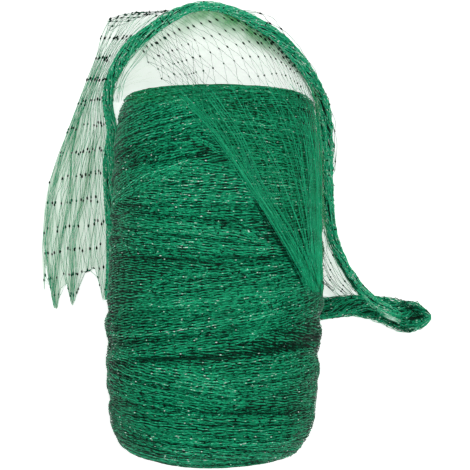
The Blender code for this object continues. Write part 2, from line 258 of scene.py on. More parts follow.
def thicken_tool():
    graph, lines = new_tool("thicken lines")
    curves = graph.node("GeometryNodeMeshToCurve", None, {"Mesh": lines}).outputs[0]
    ring = graph.node("GeometryNodeCurvePrimitiveCircle", None, {"Resolution": 3, "Radius": 1.0}).outputs[0]
    round_share = graph.node("GeometryNodeSplineParameter").outputs[0]
    ring = graph.node(
        "GeometryNodeStoreNamedAttribute", {"data_type": "FLOAT", "domain": "POINT"},
        {"Geometry": ring, "Name": "round", "Value": round_share},
    ).outputs[0]
    swept = graph.node("GeometryNodeCurveToMesh", None, {
        "Curve": curves, "Profile Curve": ring, "Scale": stored(graph, "girth"), "Fill Caps": True,
    }).outputs[0]
    swept = mapped(graph, swept, stored(graph, "round"))
    swept = graph.node("GeometryNodeSetShadeSmooth", None, {"Geometry": swept}).outputs[0]
    return close_tool(graph, swept)


THICKEN = thicken_tool()


def settle(name, mesh, tool, material):
    """Runs a tool on a mesh and keeps the result as a piece of the object."""
    draft = place_object(name + "_draft", mesh)
    draft.modifiers.new("tool", "NODES").node_group = tool
    ready = bpy.context.evaluated_depsgraph_get()
    made = bpy.data.meshes.new_from_object(draft.evaluated_get(ready))
    made.name = name
    bpy.data.objects.remove(draft)
    bpy.data.meshes.remove(mesh)
    return show(name, made, material)


def show(name, mesh, material):
    mesh.materials.clear()
    mesh.materials.append(material)
    piece = place_object(name, mesh)
    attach(piece, "root")
    faces = len(mesh.polygons)
    print(f"{name}: {faces} faces, {len(mesh.loops) - 2 * faces} triangles")
    return piece


def mesh_from(bm, name):
    """Ends a bmesh and keeps what it made as a smooth mesh."""
    mesh = bpy.data.meshes.new(name)
    bm.to_mesh(mesh)
    bm.free()
    mesh.shade_smooth()
    return mesh


def point_numbers(mesh, name, values, kind="FLOAT", field="value"):
    """Gives each point of a mesh a number, or a vector."""
    mesh.attributes.new(name, kind, "POINT").data.foreach_set(field, np.ravel(values).astype(np.float32))


class Lines:
    """Lines to be made strands: points in millimetres, a radius and a tone for each."""

    def __init__(self):
        self.points = []
        self.radii = []
        self.tones = []
        self.along = []
        self.closed = []

    def add(self, points, radius, tone, closed=False):
        points = np.asarray(points, float)
        steps = np.linalg.norm(np.diff(points, axis=0), axis=1)
        walked = np.concatenate([[0.0], np.cumsum(steps)])
        self.points.append(points)
        self.radii.append(np.broadcast_to(radius, len(points)))
        self.tones.append(np.broadcast_to(np.clip(tone, 0.01, 0.98), len(points)))
        self.along.append((chance.uniform(0.02, 0.1) + walked / ALONG_MAP_MM) % 0.98 + 0.01)
        self.closed.append(closed)

    def piece(self, name, material, slot):
        mesh = bpy.data.meshes.new(name)
        points = np.concatenate(self.points) * MM
        edges = []
        first = 0
        for one, closed in zip(self.points, self.closed):
            here = np.arange(first, first + len(one))
            edges.append(np.stack([here[:-1], here[1:]], 1))
            if closed:
                edges.append(np.array([[here[-1], here[0]]]))
            first += len(one)
        edges = np.concatenate(edges)
        mesh.vertices.add(len(points))
        mesh.vertices.foreach_set("co", points.astype(np.float32).ravel())
        mesh.edges.add(len(edges))
        mesh.edges.foreach_set("vertices", edges.ravel())
        point_numbers(mesh, "girth", np.concatenate(self.radii) * MM)
        point_numbers(mesh, "tone", np.concatenate(self.tones))
        point_numbers(mesh, "along", np.concatenate(self.along))
        return settle(name, mesh, THICKEN, material)


# %% [markdown]
# ## Knots
#
# Every corner of a diamond is a knot, a little longer than it is wide. There are thousands, so each is an
# instance of one small icosphere, turned to lie along its strand, and the instances are then made real.

# %% Build the tool that sets knots
def knot_tool():
    graph, points = new_tool("set knots")
    bead = graph.node("GeometryNodeMeshIcoSphere", None, {"Radius": 1.0, "Subdivisions": 1}).outputs[0]
    aim = graph.node("GeometryNodeInputNamedAttribute", {"data_type": "FLOAT_VECTOR"}, {"Name": "aim"})
    turned = graph.node("FunctionNodeAlignRotationToVector", {"axis": "Z"}, {"Vector": aim.outputs[0]})
    size = graph.node("GeometryNodeInputNamedAttribute", {"data_type": "FLOAT_VECTOR"}, {"Name": "size"})
    copies = graph.node("GeometryNodeInstanceOnPoints", None, {
        "Points": points, "Instance": bead, "Rotation": turned.outputs[0], "Scale": size.outputs[0],
    }).outputs[0]
    real = graph.node("GeometryNodeRealizeInstances", None, {"Geometry": copies}).outputs[0]
    side = graph.node("GeometryNodeInputNormal").outputs[0]
    side = graph.node("ShaderNodeSeparateXYZ", None, {"Vector": side})
    real = mapped(graph, real, side.outputs[0])
    return close_tool(graph, real)


SET_KNOTS = knot_tool()


class Knots:
    """Knots to be set: places in millimetres, the way each lies, its half width, half length and tone."""

    def __init__(self):
        self.places = []
        self.aims = []
        self.sizes = []
        self.tones = []

    def add(self, place, aim, half_width, half_length, tone):
        self.places.append(place)
        self.aims.append(aim)
        self.sizes.append((half_width, half_width, half_length))
        self.tones.append(tone)

    def piece(self, name, material, slot):
        mesh = bpy.data.meshes.new(name)
        mesh.vertices.add(len(self.places))
        mesh.vertices.foreach_set("co", (np.array(self.places) * MM).astype(np.float32).ravel())
        point_numbers(mesh, "aim", self.aims, "FLOAT_VECTOR", "vector")
        point_numbers(mesh, "size", np.array(self.sizes) * MM, "FLOAT_VECTOR", "vector")
        point_numbers(mesh, "tone", self.tones)
        point_numbers(mesh, "along", chance.uniform(0.05, 0.95, len(self.places)))
        return settle(name, mesh, SET_KNOTS, material)


# %% [markdown]
# ## The shape of the roll
#
# The roll is a cylinder with rounded ends, lying on a small flat spot. Its surface rises and sinks with the
# ropes of net that are wound on it, and a few furrows run between them. One function gives any point on it:
# a place along its outline, an angle round it from the crest, and a height above its surface. The strands
# are then drawn on that function, so they follow every rise and furrow.

# %% Describe the roll's surface
AXIS_HEIGHT = 84.9
ROLL_RADIUS = 86.0
# Along the axis and out from it, from the arch end to the foot
ROLL_OUTLINE = (
    (149.0, 0.0), (149.0, 34.0), (148.0, 58.0), (145.0, 70.0), (139.0, 77.0), (129.0, 80.0), (115.0, 81.0),
    (97.0, 83.4), (60.0, 84.6), (27.0, 86.6), (-18.0, 87.2), (-45.0, 87.2), (-66.0, 86.0), (-84.0, 86.2),
    (-100.0, 83.8), (-112.0, 82.8), (-122.0, 81.8), (-131.0, 79.2), (-140.0, 73.0), (-147.5, 62.0),
    (-152.5, 44.0), (-154.8, 22.0), (-155.0, 0.0),
)
# How far sideways the roll's axis has strayed, at places along it from the foot up
AXIS_STRAY = (
    (-155.0, -3.0), (-81.0, -3.0), (-51.0, -1.9), (-18.0, -0.9), (27.0, 0.7), (60.0, 0.9), (149.0, 0.9),
)
# Where each crosses the crest, its climb for each radian, depth, width, and the angles that it runs between
FURROWS = (
    {"at": -61.5, "climb": 8.0, "depth": 2.8, "width": 5.0, "first": -1.5, "last": 1.4},
    {"at": 12.5, "climb": 1.0, "depth": 1.8, "width": 4.6, "first": -0.9, "last": 0.9},
    {"at": 92.5, "climb": 9.0, "depth": 2.0, "width": 4.6, "first": -1.1, "last": 0.3},
    {"at": -104.0, "climb": -4.0, "depth": 1.6, "width": 5.0, "first": -0.6, "last": 1.3},
    {"at": 50.0, "climb": -5.0, "depth": 1.4, "width": 4.6, "first": -1.2, "last": 0.8},
    {"at": -42.0, "climb": 6.0, "depth": 1.5, "width": 5.0, "first": 1.2, "last": 4.6},
    {"at": 70.0, "climb": -6.0, "depth": 1.6, "width": 5.0, "first": 1.4, "last": 4.9},
)
ROPES = (
    {"pitch": 24.0, "climb": 7.6, "proud": 0.75},
    {"pitch": 31.0, "climb": -4.9, "proud": 0.55},
    {"pitch": 17.0, "climb": -2.7, "proud": 0.4},
)


def soft_step(value):
    """Rises smoothly from 0 to 1 as the value does."""
    value = np.clip(value, 0.0, 1.0)
    return value * value * (3.0 - 2.0 * value)


def smooth_through(rows, steps):
    """A smooth curve through rows of numbers, with steps points from one row to the next."""
    rows = np.asarray(rows, float)
    padded = np.vstack([rows[:1], rows, rows[-1:]])
    share = (np.arange(steps) / steps)[:, None]
    parts = []
    for before, here, there, beyond in zip(padded, padded[1:], padded[2:], padded[3:]):
        parts.append(0.5 * (
            2 * here + (there - before) * share + (2 * before - 5 * here + 4 * there - beyond) * share**2
            + (3 * here - before - 3 * there + beyond) * share**3
        ))
    return np.vstack([*parts, rows[-1:]])


OUTLINE_STEPS = 16
SIDE_LEAST_OUT = 75.0
FURROW_END = 0.25
outline = smooth_through(ROLL_OUTLINE, OUTLINE_STEPS)
outline_walked = np.concatenate([[0.0], np.cumsum(np.linalg.norm(np.diff(outline, axis=0), axis=1))])
outline_slope = np.gradient(outline, outline_walked, axis=0)
OUTLINE_LENGTH = outline_walked[-1]
print("outline from end to end, mm:", round(OUTLINE_LENGTH, 1))


def outline_at(place):
    """Along the axis, out from it, and the way out of the surface, at a place on the outline."""
    along = np.interp(place, outline_walked, outline[:, 0])
    out = np.interp(place, outline_walked, outline[:, 1])
    normal_along = np.interp(place, outline_walked, outline_slope[:, 1])
    normal_out = -np.interp(place, outline_walked, outline_slope[:, 0])
    return along, out, normal_along, normal_out


def rope_relief(along, angle):
    """How far the wound ropes stand proud, and the furrows sink, at places along the axis and round it."""
    turned_angle = np.arctan2(np.sin(angle), np.cos(angle))
    lift = np.zeros(np.broadcast(along, angle).shape)
    for rope in ROPES:
        phase = (along - rope["climb"] * np.sin(angle)) / rope["pitch"]
        lift = lift + rope["proud"] * (2.0 * np.abs(np.sin(math.pi * phase)) - 1.0)
    for furrow in FURROWS:
        turned = np.where(turned_angle >= furrow["first"], turned_angle, turned_angle + 2.0 * math.pi)
        ends = soft_step((turned - furrow["first"]) / FURROW_END)
        ends = ends * soft_step((furrow["last"] - turned) / FURROW_END)
        away = (along - furrow["at"] - furrow["climb"] * turned) / furrow["width"]
        lift = lift - ends * furrow["depth"] * np.exp(-away * away)
    return lift


def end_fade(out):
    """Fades the relief out towards the middle of the roll's ends."""
    return soft_step((out - 20.0) / 40.0)


def axis_stray(along):
    """How far sideways the roll's axis lies at a place along it."""
    return np.interp(along, *np.transpose(AXIS_STRAY))


def on_roll(place, angle, height):
    """Points above the roll's surface."""
    along, out, normal_along, normal_out = outline_at(place)
    relief = rope_relief(along, angle) * end_fade(out)
    out = out + relief + height * normal_out
    up = AXIS_HEIGHT + out * np.cos(angle)
    x = out * np.sin(angle) + axis_stray(along)
    return np.stack([x, along + height * normal_along, np.maximum(up, 0.5)], -1)


def place_at(along):
    """The place on the outline, on the roll's side, for a place along the axis."""
    far_out = outline[:, 1] > SIDE_LEAST_OUT
    side = slice(np.argmax(far_out), len(outline) - np.argmax(far_out[::-1]))
    return np.interp(-along, -outline[side, 0], outline_walked[side])


# %% [markdown]
# ## The roll's body
#
# Under the outer turns lie hundreds more, of which one sees only dark green between the strands. They need no
# strands of their own: one closed body stands for them. A spin turns the outline into it, and its surface is
# then sunk a little below the outermost turns. Its finish is a near-black green, darker than the twine, which
# is painted shade for the depth between the strands, and it is finely ribbed round the roll.

# %% Spin the body and sink it under the strands
BODY_STEPS = 144
BODY_PLACES = 170
BODY_SINK = 1.0
HALF_LENGTH = 150.0
# Fine along the axis and coarse round it, which makes ribs that run round the roll
RIB_SCALE = (60.0, 900.0, 60.0)
# Painted shade: near-black greens for the depth under the outer turns and inside the gathered edge
INNER_SHADE_TONES = ((0.25, (0.000, 0.006, 0.003)), (0.55, (0.000, 0.026, 0.012)), (0.80, (0.001, 0.080, 0.038)))


def ribbed_finish():
    material, graph, shader = new_finish("shaded_inner_turns")
    place = graph.node("ShaderNodeTexCoord").outputs["Object"]
    ribs = stretched_noise(graph, place, RIB_SCALE, 3.0)
    ramp = graph.node("ShaderNodeValToRGB", {"stops": INNER_SHADE_TONES}, {"Fac": ribs})
    graph.tree.links.new(ramp.outputs[0], shader.inputs["Base Color"])
    bump = graph.node("ShaderNodeBump", None, {"Height": ribs, "Strength": 0.6, "Distance": 0.001})
    graph.tree.links.new(bump.outputs[0], shader.inputs["Normal"])
    shader.inputs["Roughness"].default_value = 0.7
    shader.inputs["Specular IOR Level"].default_value = 0.15
    return material


shaded_inner_turns = ribbed_finish()


def build_body():
    bm = bmesh.new()
    places = np.linspace(0.0, OUTLINE_LENGTH, BODY_PLACES)
    along, out, _, _ = outline_at(places)
    out[0] = out[-1] = 0.0
    line = [bm.verts.new((0.0, y, z)) for y, z in zip(along, out)]
    edges = [bm.edges.new(pair) for pair in zip(line, line[1:])]
    bmesh.ops.spin(
        bm, geom=line + edges, cent=(0, 0, 0), axis=(0, 1, 0), dvec=(0, 0, 0),
        angle=2.0 * math.pi, steps=BODY_STEPS, use_merge=True, use_normal_flip=False, use_duplicate=False,
    )
    bmesh.ops.remove_doubles(bm, verts=bm.verts, dist=0.01)
    bmesh.ops.recalc_face_normals(bm, faces=bm.faces)
    bm.verts.ensure_lookup_table()
    found = np.array([vert.co for vert in bm.verts])
    out = np.hypot(found[:, 0], found[:, 2])
    angle = np.arctan2(found[:, 0], found[:, 2])
    sunk = out + (rope_relief(found[:, 1], angle) - BODY_SINK) * end_fade(out)
    share = sunk / np.maximum(out, 1.0)
    squeeze = 1.0 - BODY_SINK / HALF_LENGTH
    for vert, grow in zip(bm.verts, share):
        grow = grow if math.hypot(vert.co.x, vert.co.z) > 1.0 else 1.0
        height = max(vert.co.z * grow + AXIS_HEIGHT, 0.3)
        vert.co = (vert.co.x * grow + float(axis_stray(vert.co.y)), vert.co.y * squeeze, height)
    bmesh.ops.scale(bm, vec=(MM, MM, MM), verts=bm.verts)
    return mesh_from(bm, "roll_body")


roll_body = show("roll_body", build_body(), shaded_inner_turns)
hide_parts("wound_roll")


# %% [markdown]
# ## The outermost turns
#
# When net is pulled long, its diamonds close up: neighbouring strands run side by side and meet at a knot,
# first with the one above, then with the one below. So each turn here is a ring with a small wave in it, and
# every second ring has its wave turned over. The knots then stand in crooked chains across the strands, as
# they do on the real roll. A slow drift tilts the rings a few degrees this way and that.

# %% Draw the turns
TURN_PITCH = 1.08
WAVE_LENGTH = 21.0
WAVE_SHARE = 0.48
STEPS_A_WAVE = 4
TURN_RADIUS = 0.41
END_MARGIN = 7.0
# Turns further out than this are the roll's side, and the others its ends
SIDE_OUT = 79.0
KNOT_CHANCE = 0.55
DARK_KNOTS = 0.68


def drift(place, angle):
    """How far a ring strays along the outline."""
    share = place / OUTLINE_LENGTH
    return (
        4.5 * np.sin(angle + 9.0 * share) + 3.2 * np.sin(2.0 * angle - 14.0 * share + 1.0)
        + 1.5 * np.sin(3.0 * angle + 23.0 * share + 2.0)
    ) * soft_step(share / 0.12) * soft_step((1.0 - share) / 0.12)


def chain_turn(place):
    """How far the chains of knots have turned round the roll at a place."""
    return (
        1.6 * np.sin(place / 13.0) + 1.2 * np.sin(place / 29.0 + 1.0) + 0.8 * np.sin(place / 5.3 + 2.0)
        + 0.5 * np.sin(place / 2.7)
    )


def twine_tone(middle=0.5, spread=0.12):
    """A strand's tone: most are alike, and a few are much lighter or darker."""
    tone = chance.normal(middle, spread)
    odd = chance.random()
    if odd < 0.12:
        tone -= 0.2
    elif odd > 0.93:
        tone += 0.15
    return float(np.clip(tone, 0.14, 0.80))


def painted_flank_shade(points):
    """Painted shade for points down the roll's flanks, from 0 on top to 1, and more towards the foot end."""
    shade = np.abs(np.clip(points[:, 0] / ROLL_RADIUS, -1.0, 1.0)) ** 3.5
    return shade + 0.5 * soft_step((-105.0 - points[:, 1]) / 45.0)


def furrow_shade(points):
    """How deep in a furrow points on the roll lie, from 0 to 1, which sets the painted shade in the furrows.
    """
    angle = np.arctan2(points[:, 0], points[:, 2] - AXIS_HEIGHT)
    deepest = np.zeros(len(points))
    for furrow in FURROWS:
        turned = np.where(angle >= furrow["first"], angle, angle + 2.0 * math.pi)
        ends = soft_step((turned - furrow["first"]) / 0.3) * soft_step((furrow["last"] - turned) / 0.3)
        away = (points[:, 1] - furrow["at"] - furrow["climb"] * turned) / (0.45 * furrow["width"])
        deepest = np.maximum(deepest, ends * np.exp(-away * away) * furrow["depth"] / 2.8)
    return deepest


# Strips along the roll where a painted sheen lightens the strands' tone: how far across each is, and how wide
SHEEN_STRIPS = ((-23.0, 13.0), (44.0, 12.0))
# Strengths of the painted shade down the flanks and of the painted sheen
FLANK_SHADE_SHARE = 0.15
PAINTED_SHEEN_SHARE = 0.13


def painted_sheen(points):
    """Painted sheen: lighter stretches, here and there, on strands in the sheen strips."""
    share = sum(np.exp(-((points[:, 0] - middle) / width) ** 2) for middle, width in SHEEN_STRIPS)
    return share * np.maximum(chance.normal(0.0, 1.0, len(points)), -0.3)


def tone_on_roll(tone, points, furrow_shade_share):
    """A strand's tone, with painted shade in the furrows and down the flanks and a painted sheen in the sheen
    strips.
    """
    shaded = tone - furrow_shade_share * furrow_shade(points) - FLANK_SHADE_SHARE * painted_flank_shade(points)
    return shaded + PAINTED_SHEEN_SHARE * painted_sheen(points)


def add_wound_knot(knots, place, aim):
    """A knot on the roll. Most are dark, and the others are pale, painted glints."""
    dark = chance.random() < DARK_KNOTS
    tone = 0.03 if dark else chance.uniform(0.85, 0.97)
    knots.add(place, aim, chance.uniform(0.35, 0.55), chance.uniform(0.5, 1.0), tone)


def draw_turns():
    rings = Lines()
    ends = Lines()
    knots = Knots()
    count = int((OUTLINE_LENGTH - 2 * END_MARGIN) / TURN_PITCH)
    for number in range(count):
        place = END_MARGIN + number * TURN_PITCH + chance.uniform(-0.15, 0.15)
        _, out, _, _ = outline_at(place)
        waves = max(3, round(2 * math.pi * out / WAVE_LENGTH))
        steps = STEPS_A_WAVE * waves
        turn = chain_turn(place)
        angle = 2 * math.pi * np.arange(steps) / steps - turn / waves
        wave = (-1) ** number * np.cos(waves * angle + turn)
        wander = chance.normal(0.0, 0.18, steps)
        at = place + drift(place, angle) + TURN_PITCH * WAVE_SHARE * wave + wander
        at = np.clip(at, 2.0, OUTLINE_LENGTH - 2.0)
        rough = 0.15 + 0.4 * float(soft_step((82.0 - out) / 3.0))
        height = chance.uniform(-0.35, 0.15) + rough * np.sin(3 * angle + chance.uniform(0, 6.28))
        points = on_roll(at, angle, height + chance.normal(0.0, 0.12, steps))
        target = rings if out > SIDE_OUT else ends
        # The ring's tone carries painted shade in furrows and on the flanks, and painted sheen in the strips
        target.add(points, TURN_RADIUS, tone_on_roll(twine_tone(), points, 0.28), closed=True)
        for knot in range(waves):
            if chance.random() > KNOT_CHANCE:
                continue
            phase = (math.pi * ((number % 2) + 2 * knot) - turn) / waves
            spot = place + float(drift(place, phase)) + TURN_PITCH * 0.5
            if not 3.0 < spot < OUTLINE_LENGTH - 3.0:
                continue
            here, there = on_roll(np.full(2, spot), np.array([phase, phase + 0.02]), 0.35)
            add_wound_knot(knots, here, there - here)
    rings.piece("roll_turns", wound_twine, "wound_net")
    ends.piece("roll_end_turns", wound_twine, "wound_net")
    knots.piece("roll_knots", wound_twine, "wound_net")


draw_turns()


# %% [markdown]
# ## Swaths over the turns
#
# The last ropes of net were wound at steeper angles and lie on top. Each is a swath of strands side by side,
# higher in its middle than at its edges, that comes up from under its neighbours and dives under them again.
# Their edges lie lower, and their strands are painted darker towards them; this painted shade and the lower
# edges draw the dark lines that divide the roll.

# %% Draw the swaths
SWATH_PITCH = 1.05
SWATH_KNOT_CHANCE = 0.32
# Along the axis at the middle, angle there, climb for each radian, half its angle, width, height
SWATHS = (
    (138.0, -0.20, 9.0, 1.00, 22.0, 0.9),
    (137.0, 2.90, -8.0, 1.30, 22.0, 0.9),
    (-138.0, 0.40, -9.0, 1.20, 22.0, 0.9),
    (-138.0, 3.60, 8.0, 1.30, 22.0, 0.9),
    (118.0, -0.75, 20.0, 0.95, 40.0, 1.0),
    (76.0, -0.95, 24.0, 0.80, 34.0, 0.9),
    (64.0, 0.10, -6.0, 1.05, 44.0, 0.6),
    (30.0, -0.35, -9.0, 0.90, 36.0, 0.9),
    (-8.0, 0.30, 8.0, 1.10, 38.0, 0.8),
    (-36.0, -0.30, 11.0, 1.05, 44.0, 1.1),
    (-26.0, 0.85, 16.0, 0.80, 34.0, 0.6),
    (-84.0, -0.55, -14.0, 0.95, 40.0, 1.0),
    (-78.0, 0.55, 9.0, 0.90, 34.0, 0.7),
    (-118.0, 0.05, -6.0, 1.20, 34.0, 0.9),
    (105.0, 0.60, -8.0, 0.95, 38.0, 0.8),
    (110.0, 2.30, 14.0, 1.00, 40.0, 0.9),
    (62.0, 2.00, -12.0, 1.10, 44.0, 0.8),
    (20.0, 2.60, 10.0, 1.20, 44.0, 1.0),
    (-24.0, 2.10, -9.0, 1.10, 40.0, 0.8),
    (-66.0, 2.50, 12.0, 1.10, 44.0, 1.0),
    (-108.0, 2.10, -8.0, 1.10, 40.0, 0.8),
    (96.0, 3.90, -14.0, 1.10, 44.0, 1.0),
    (48.0, 4.10, 12.0, 1.00, 40.0, 0.8),
    (0.0, 3.80, -9.0, 1.10, 44.0, 0.9),
    (-46.0, 4.00, 9.0, 1.00, 44.0, 0.9),
    (-92.0, 3.80, -12.0, 1.10, 40.0, 0.8),
    (-122.0, 4.30, 5.0, 1.00, 30.0, 0.9),
)


def draw_swaths():
    lines = Lines()
    knots = Knots()
    for along, middle, climb, half, width, high in SWATHS:
        count = int(width / SWATH_PITCH)
        steps = round(2 * half * ROLL_RADIUS * STEPS_A_WAVE / WAVE_LENGTH)
        sway = chance.uniform(0, 6.28)
        for number in range(count):
            across = (number + 0.5) / count * 2.0 - 1.0
            reach = half * (1.0 - 0.18 * abs(across) ** 1.5) * chance.uniform(0.93, 1.0)
            share = np.linspace(-1.0, 1.0, steps)
            angle = middle + share * reach
            ends = soft_step((1.0 - np.abs(share)) / 0.30)
            turn = chain_turn(number * SWATH_PITCH + along)
            wave = (-1) ** number * np.cos(angle * ROLL_RADIUS / WAVE_LENGTH * 2 * math.pi + sway + turn)
            spread = 0.5 * width * across * (0.62 + 0.38 * ends)
            stray = 1.6 * np.sin(1.7 * angle + sway) + chance.normal(0.0, 0.15, steps)
            at = place_at(along) - climb * (angle - middle) + spread + stray + SWATH_PITCH * WAVE_SHARE * wave
            height = -0.9 + ends * (0.9 + high * (1.0 - across * across) + 0.3)
            height = height + chance.uniform(-0.15, 0.15) + chance.normal(0.0, 0.12, steps)
            points = on_roll(np.clip(at, 3.0, OUTLINE_LENGTH - 3.0), angle, height)
            # Painted shade: strands darker towards the swath's edges, then painted shade in furrows and on
            # the flanks and painted sheen in the strips
            tone = twine_tone(0.53) - 0.14 * abs(across) ** 3
            lines.add(points, TURN_RADIUS * 0.95, tone_on_roll(tone, points, 0.24))
            for spot in range(2, steps - 2):
                if wave[spot] > 0.6 and chance.random() < SWATH_KNOT_CHANCE:
                    lifted = points[spot] + np.array([0.0, 0.0, 0.3])
                    add_wound_knot(knots, lifted, points[spot + 1] - points[spot - 1])
    lines.piece("roll_swaths", wound_twine, "wound_net")
    knots.piece("swath_knots", wound_twine, "wound_net")


draw_swaths()


# %% [markdown]
# ## Lines along a course
#
# The gathered edge, the net's selvedge pulled into a rope, makes the arch, runs down the right side and folds
# back into a flat loop. Its course is a table of points with widths. At each step along it the strands keep
# their place in the rope's section, which turns slowly, as in a loosely twisted rope.

# %% Describe the courses
# x, y and width, seen from above
EDGE_COURSE = (
    (-97.8, -26.0, 2.4), (-96.5, 0.0, 3.2), (-95.4, 26.6, 4.6), (-95.1, 52.0, 8.0), (-95.7, 79.0, 10.0),
    (-95.4, 101.0, 10.4), (-92.7, 123.0, 9.6), (-96.2, 144.3, 9.0), (-95.2, 161.0, 9.4), (-89.4, 176.0, 11.0),
    (-78.5, 193.4, 11.9), (-67.9, 203.5, 11.4), (-57.4, 211.6, 11.0), (-44.2, 220.6, 10.5),
    (-28.4, 228.6, 8.8), (-10.4, 232.3, 7.6), (12.9, 227.6, 8.2), (33.1, 218.3, 9.7), (52.4, 205.6, 10.3),
    (66.2, 192.0, 11.0), (78.0, 176.3, 11.4), (86.6, 161.6, 11.2), (92.3, 145.2, 12.2), (94.4, 125.8, 14.4),
    (95.3, 105.6, 13.6), (95.9, 79.3, 11.8), (97.4, 53.0, 11.2), (100.3, 33.5, 10.1), (104.8, 19.0, 9.0),
    (111.2, 5.5, 8.2), (118.6, -6.5, 8.3), (126.6, -17.5, 8.6), (136.0, -26.5, 9.8), (147.2, -34.5, 11.4),
    (158.5, -41.0, 13.0), (168.5, -44.0, 12.6),
)
LOOP_COURSE = (
    (42.0, -34.6, 14.0), (50.0, -34.5, 15.0), (66.0, -34.4, 17.5), (82.0, -34.0, 19.0), (98.9, -33.1, 20.2),
    (118.2, -30.6, 19.4), (138.0, -33.0, 22.6), (151.0, -36.0, 25.4), (162.0, -39.4, 29.0),
    (171.5, -40.8, 27.0), (180.0, -41.2, 20.0), (185.6, -41.2, 11.0), (188.0, -41.2, 4.0),
)
COURSE_STEPS = 10
COURSE_SPACING = 4.4
LEAST_HEIGHT = 1.9
# Where the right leg crosses the loop, and how high it rides there
CROSSING_X = 143.0
CROSSING_RISE = 5.0


class Course:
    """A smooth course with its widths, headings and heights, at even small steps."""

    def __init__(self, rows, height_share, spacing):
        fine = smooth_through(rows, COURSE_STEPS)
        walked = np.concatenate([[0.0], np.cumsum(np.linalg.norm(np.diff(fine[:, :2], axis=0), axis=1))])
        row_at = np.arange(len(fine)) / COURSE_STEPS
        self.length = walked[-1]
        self.walked = np.linspace(0.0, self.length, round(self.length / spacing) + 1)
        self.x, self.y, self.width = (np.interp(self.walked, walked, fine[:, n]) for n in range(3))
        self.row = np.interp(self.walked, walked, row_at)
        heading = np.gradient(np.stack([self.x, self.y], 1), axis=0)
        heading /= np.linalg.norm(heading, axis=1)[:, None]
        self.side = np.stack([heading[:, 1], -heading[:, 0]], 1)
        self.height = np.maximum(LEAST_HEIGHT, self.width * height_share)

    def points(self, radius_share, angle, lift):
        """Points at a share of the section's radius and an angle in it, one for each step."""
        across = 0.5 * self.width * radius_share * np.cos(angle)
        up = self.height * (0.5 + 0.5 * radius_share * np.sin(angle)) + lift
        x = self.x + self.side[:, 0] * across
        y = self.y + self.side[:, 1] * across
        return np.stack([x, y, np.maximum(up, 0.35)], 1)


def crossing_lift(x):
    """How far the right leg is lifted where it rides over the loop."""
    rising = soft_step((x - 122.0) / 21.0)
    falling = 1.0 - soft_step((x - CROSSING_X) / 23.0)
    return CROSSING_RISE * np.where(x < CROSSING_X, rising, falling)


edge = Course(EDGE_COURSE, height_share=0.68, spacing=COURSE_SPACING)
loop = Course(LOOP_COURSE, height_share=0.36, spacing=COURSE_SPACING)
edge_lift = crossing_lift(edge.x)
loop_lift = np.zeros(len(loop.x))
print("gathered edge, mm:", round(edge.length), "loop, mm:", round(loop.length))


# %% [markdown]
# ## The gathered edge
#
# A core keeps light from passing between the strands, as the hundred hidden strands inside the real one do,
# and its near-black finish is painted shade inside the rope.
# It is gathered net. Over it run the strands that show. Near the fold, where the rope opens, near-white
# strands drawn with the net over the roll are painted light coming through.

# %% Draw the gathered edge
EDGE_CORE_SHARE = 0.62
LOOP_CORE_SHARE = 0.66
CORE_SIDES = 10
TWIST_LENGTH = 62.0


def build_core(name, course, lift, share):
    """A closed tube along a course, a share of the rope's own section thick."""
    bm = bmesh.new()
    angles = 2 * math.pi * np.arange(CORE_SIDES) / CORE_SIDES
    rings = []
    for step in range(len(course.x)):
        ring = []
        for angle in angles:
            across = 0.5 * course.width[step] * share * math.cos(angle)
            up = course.height[step] * (0.5 + 0.5 * share * math.sin(angle)) + lift[step]
            x = course.x[step] + course.side[step, 0] * across
            y = course.y[step] + course.side[step, 1] * across
            ring.append(bm.verts.new((x * MM, y * MM, max(up, 0.3) * MM)))
        rings.append([bm.edges.new((ring[n - 1], ring[n])) for n in range(CORE_SIDES)])
    for one, two in zip(rings, rings[1:]):
        bmesh.ops.bridge_loops(bm, edges=one + two)
    bmesh.ops.holes_fill(bm, edges=rings[0] + rings[-1], sides=CORE_SIDES)
    bmesh.ops.recalc_face_normals(bm, faces=bm.faces)
    return show(name, mesh_from(bm, name), shaded_inner_turns)


def area_of(piece):
    return sum(face.area for face in piece.data.polygons)


edge_core = build_core("edge_core", edge, edge_lift, EDGE_CORE_SHARE)
loop_core = build_core("loop_core", loop, loop_lift, LOOP_CORE_SHARE)
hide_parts("gathered_edge")


def draw_rope(lines, knots, course, lift, count, middle, fuzz, glint_share):
    """Strands round a course, that weave from side to side as the sides of closed diamonds do."""
    steps = np.arange(len(course.x))
    for number in range(count):
        bar = chance.integers(3, 7)
        swing = np.abs((steps / bar + chance.uniform(0, 2)) % 2.0 - 1.0) * 2.0 - 1.0
        angle = chance.uniform(0, 2 * math.pi) + 2 * math.pi * course.walked / TWIST_LENGTH * 0.35
        angle = angle + 0.34 * swing + chance.normal(0.0, 0.07, len(steps))
        out = 0.62 + 0.34 * chance.random() ** 0.8 + chance.normal(0.0, 0.05, len(steps))
        stray = fuzz * chance.random() ** 4 * soft_step(chance.normal(0.2, 0.5, len(steps)))
        points = course.points(out + stray, angle, lift)
        tone = twine_tone(middle, 0.16) + chance.normal(0.0, 0.10, len(steps))
        lines.add(points, chance.uniform(0.24, 0.40), tone)
        for spot in range(2, len(points) - 2):
            if chance.random() < 0.24:
                # Pale knots are painted glints, and the others are dark knots
                light = chance.random() < glint_share
                tone = chance.uniform(0.88, 0.98) if light else 0.04
                aim = points[spot + 1] - points[spot - 1]
                knots.add(points[spot], aim, chance.uniform(0.35, 0.6), chance.uniform(0.6, 1.2), tone)


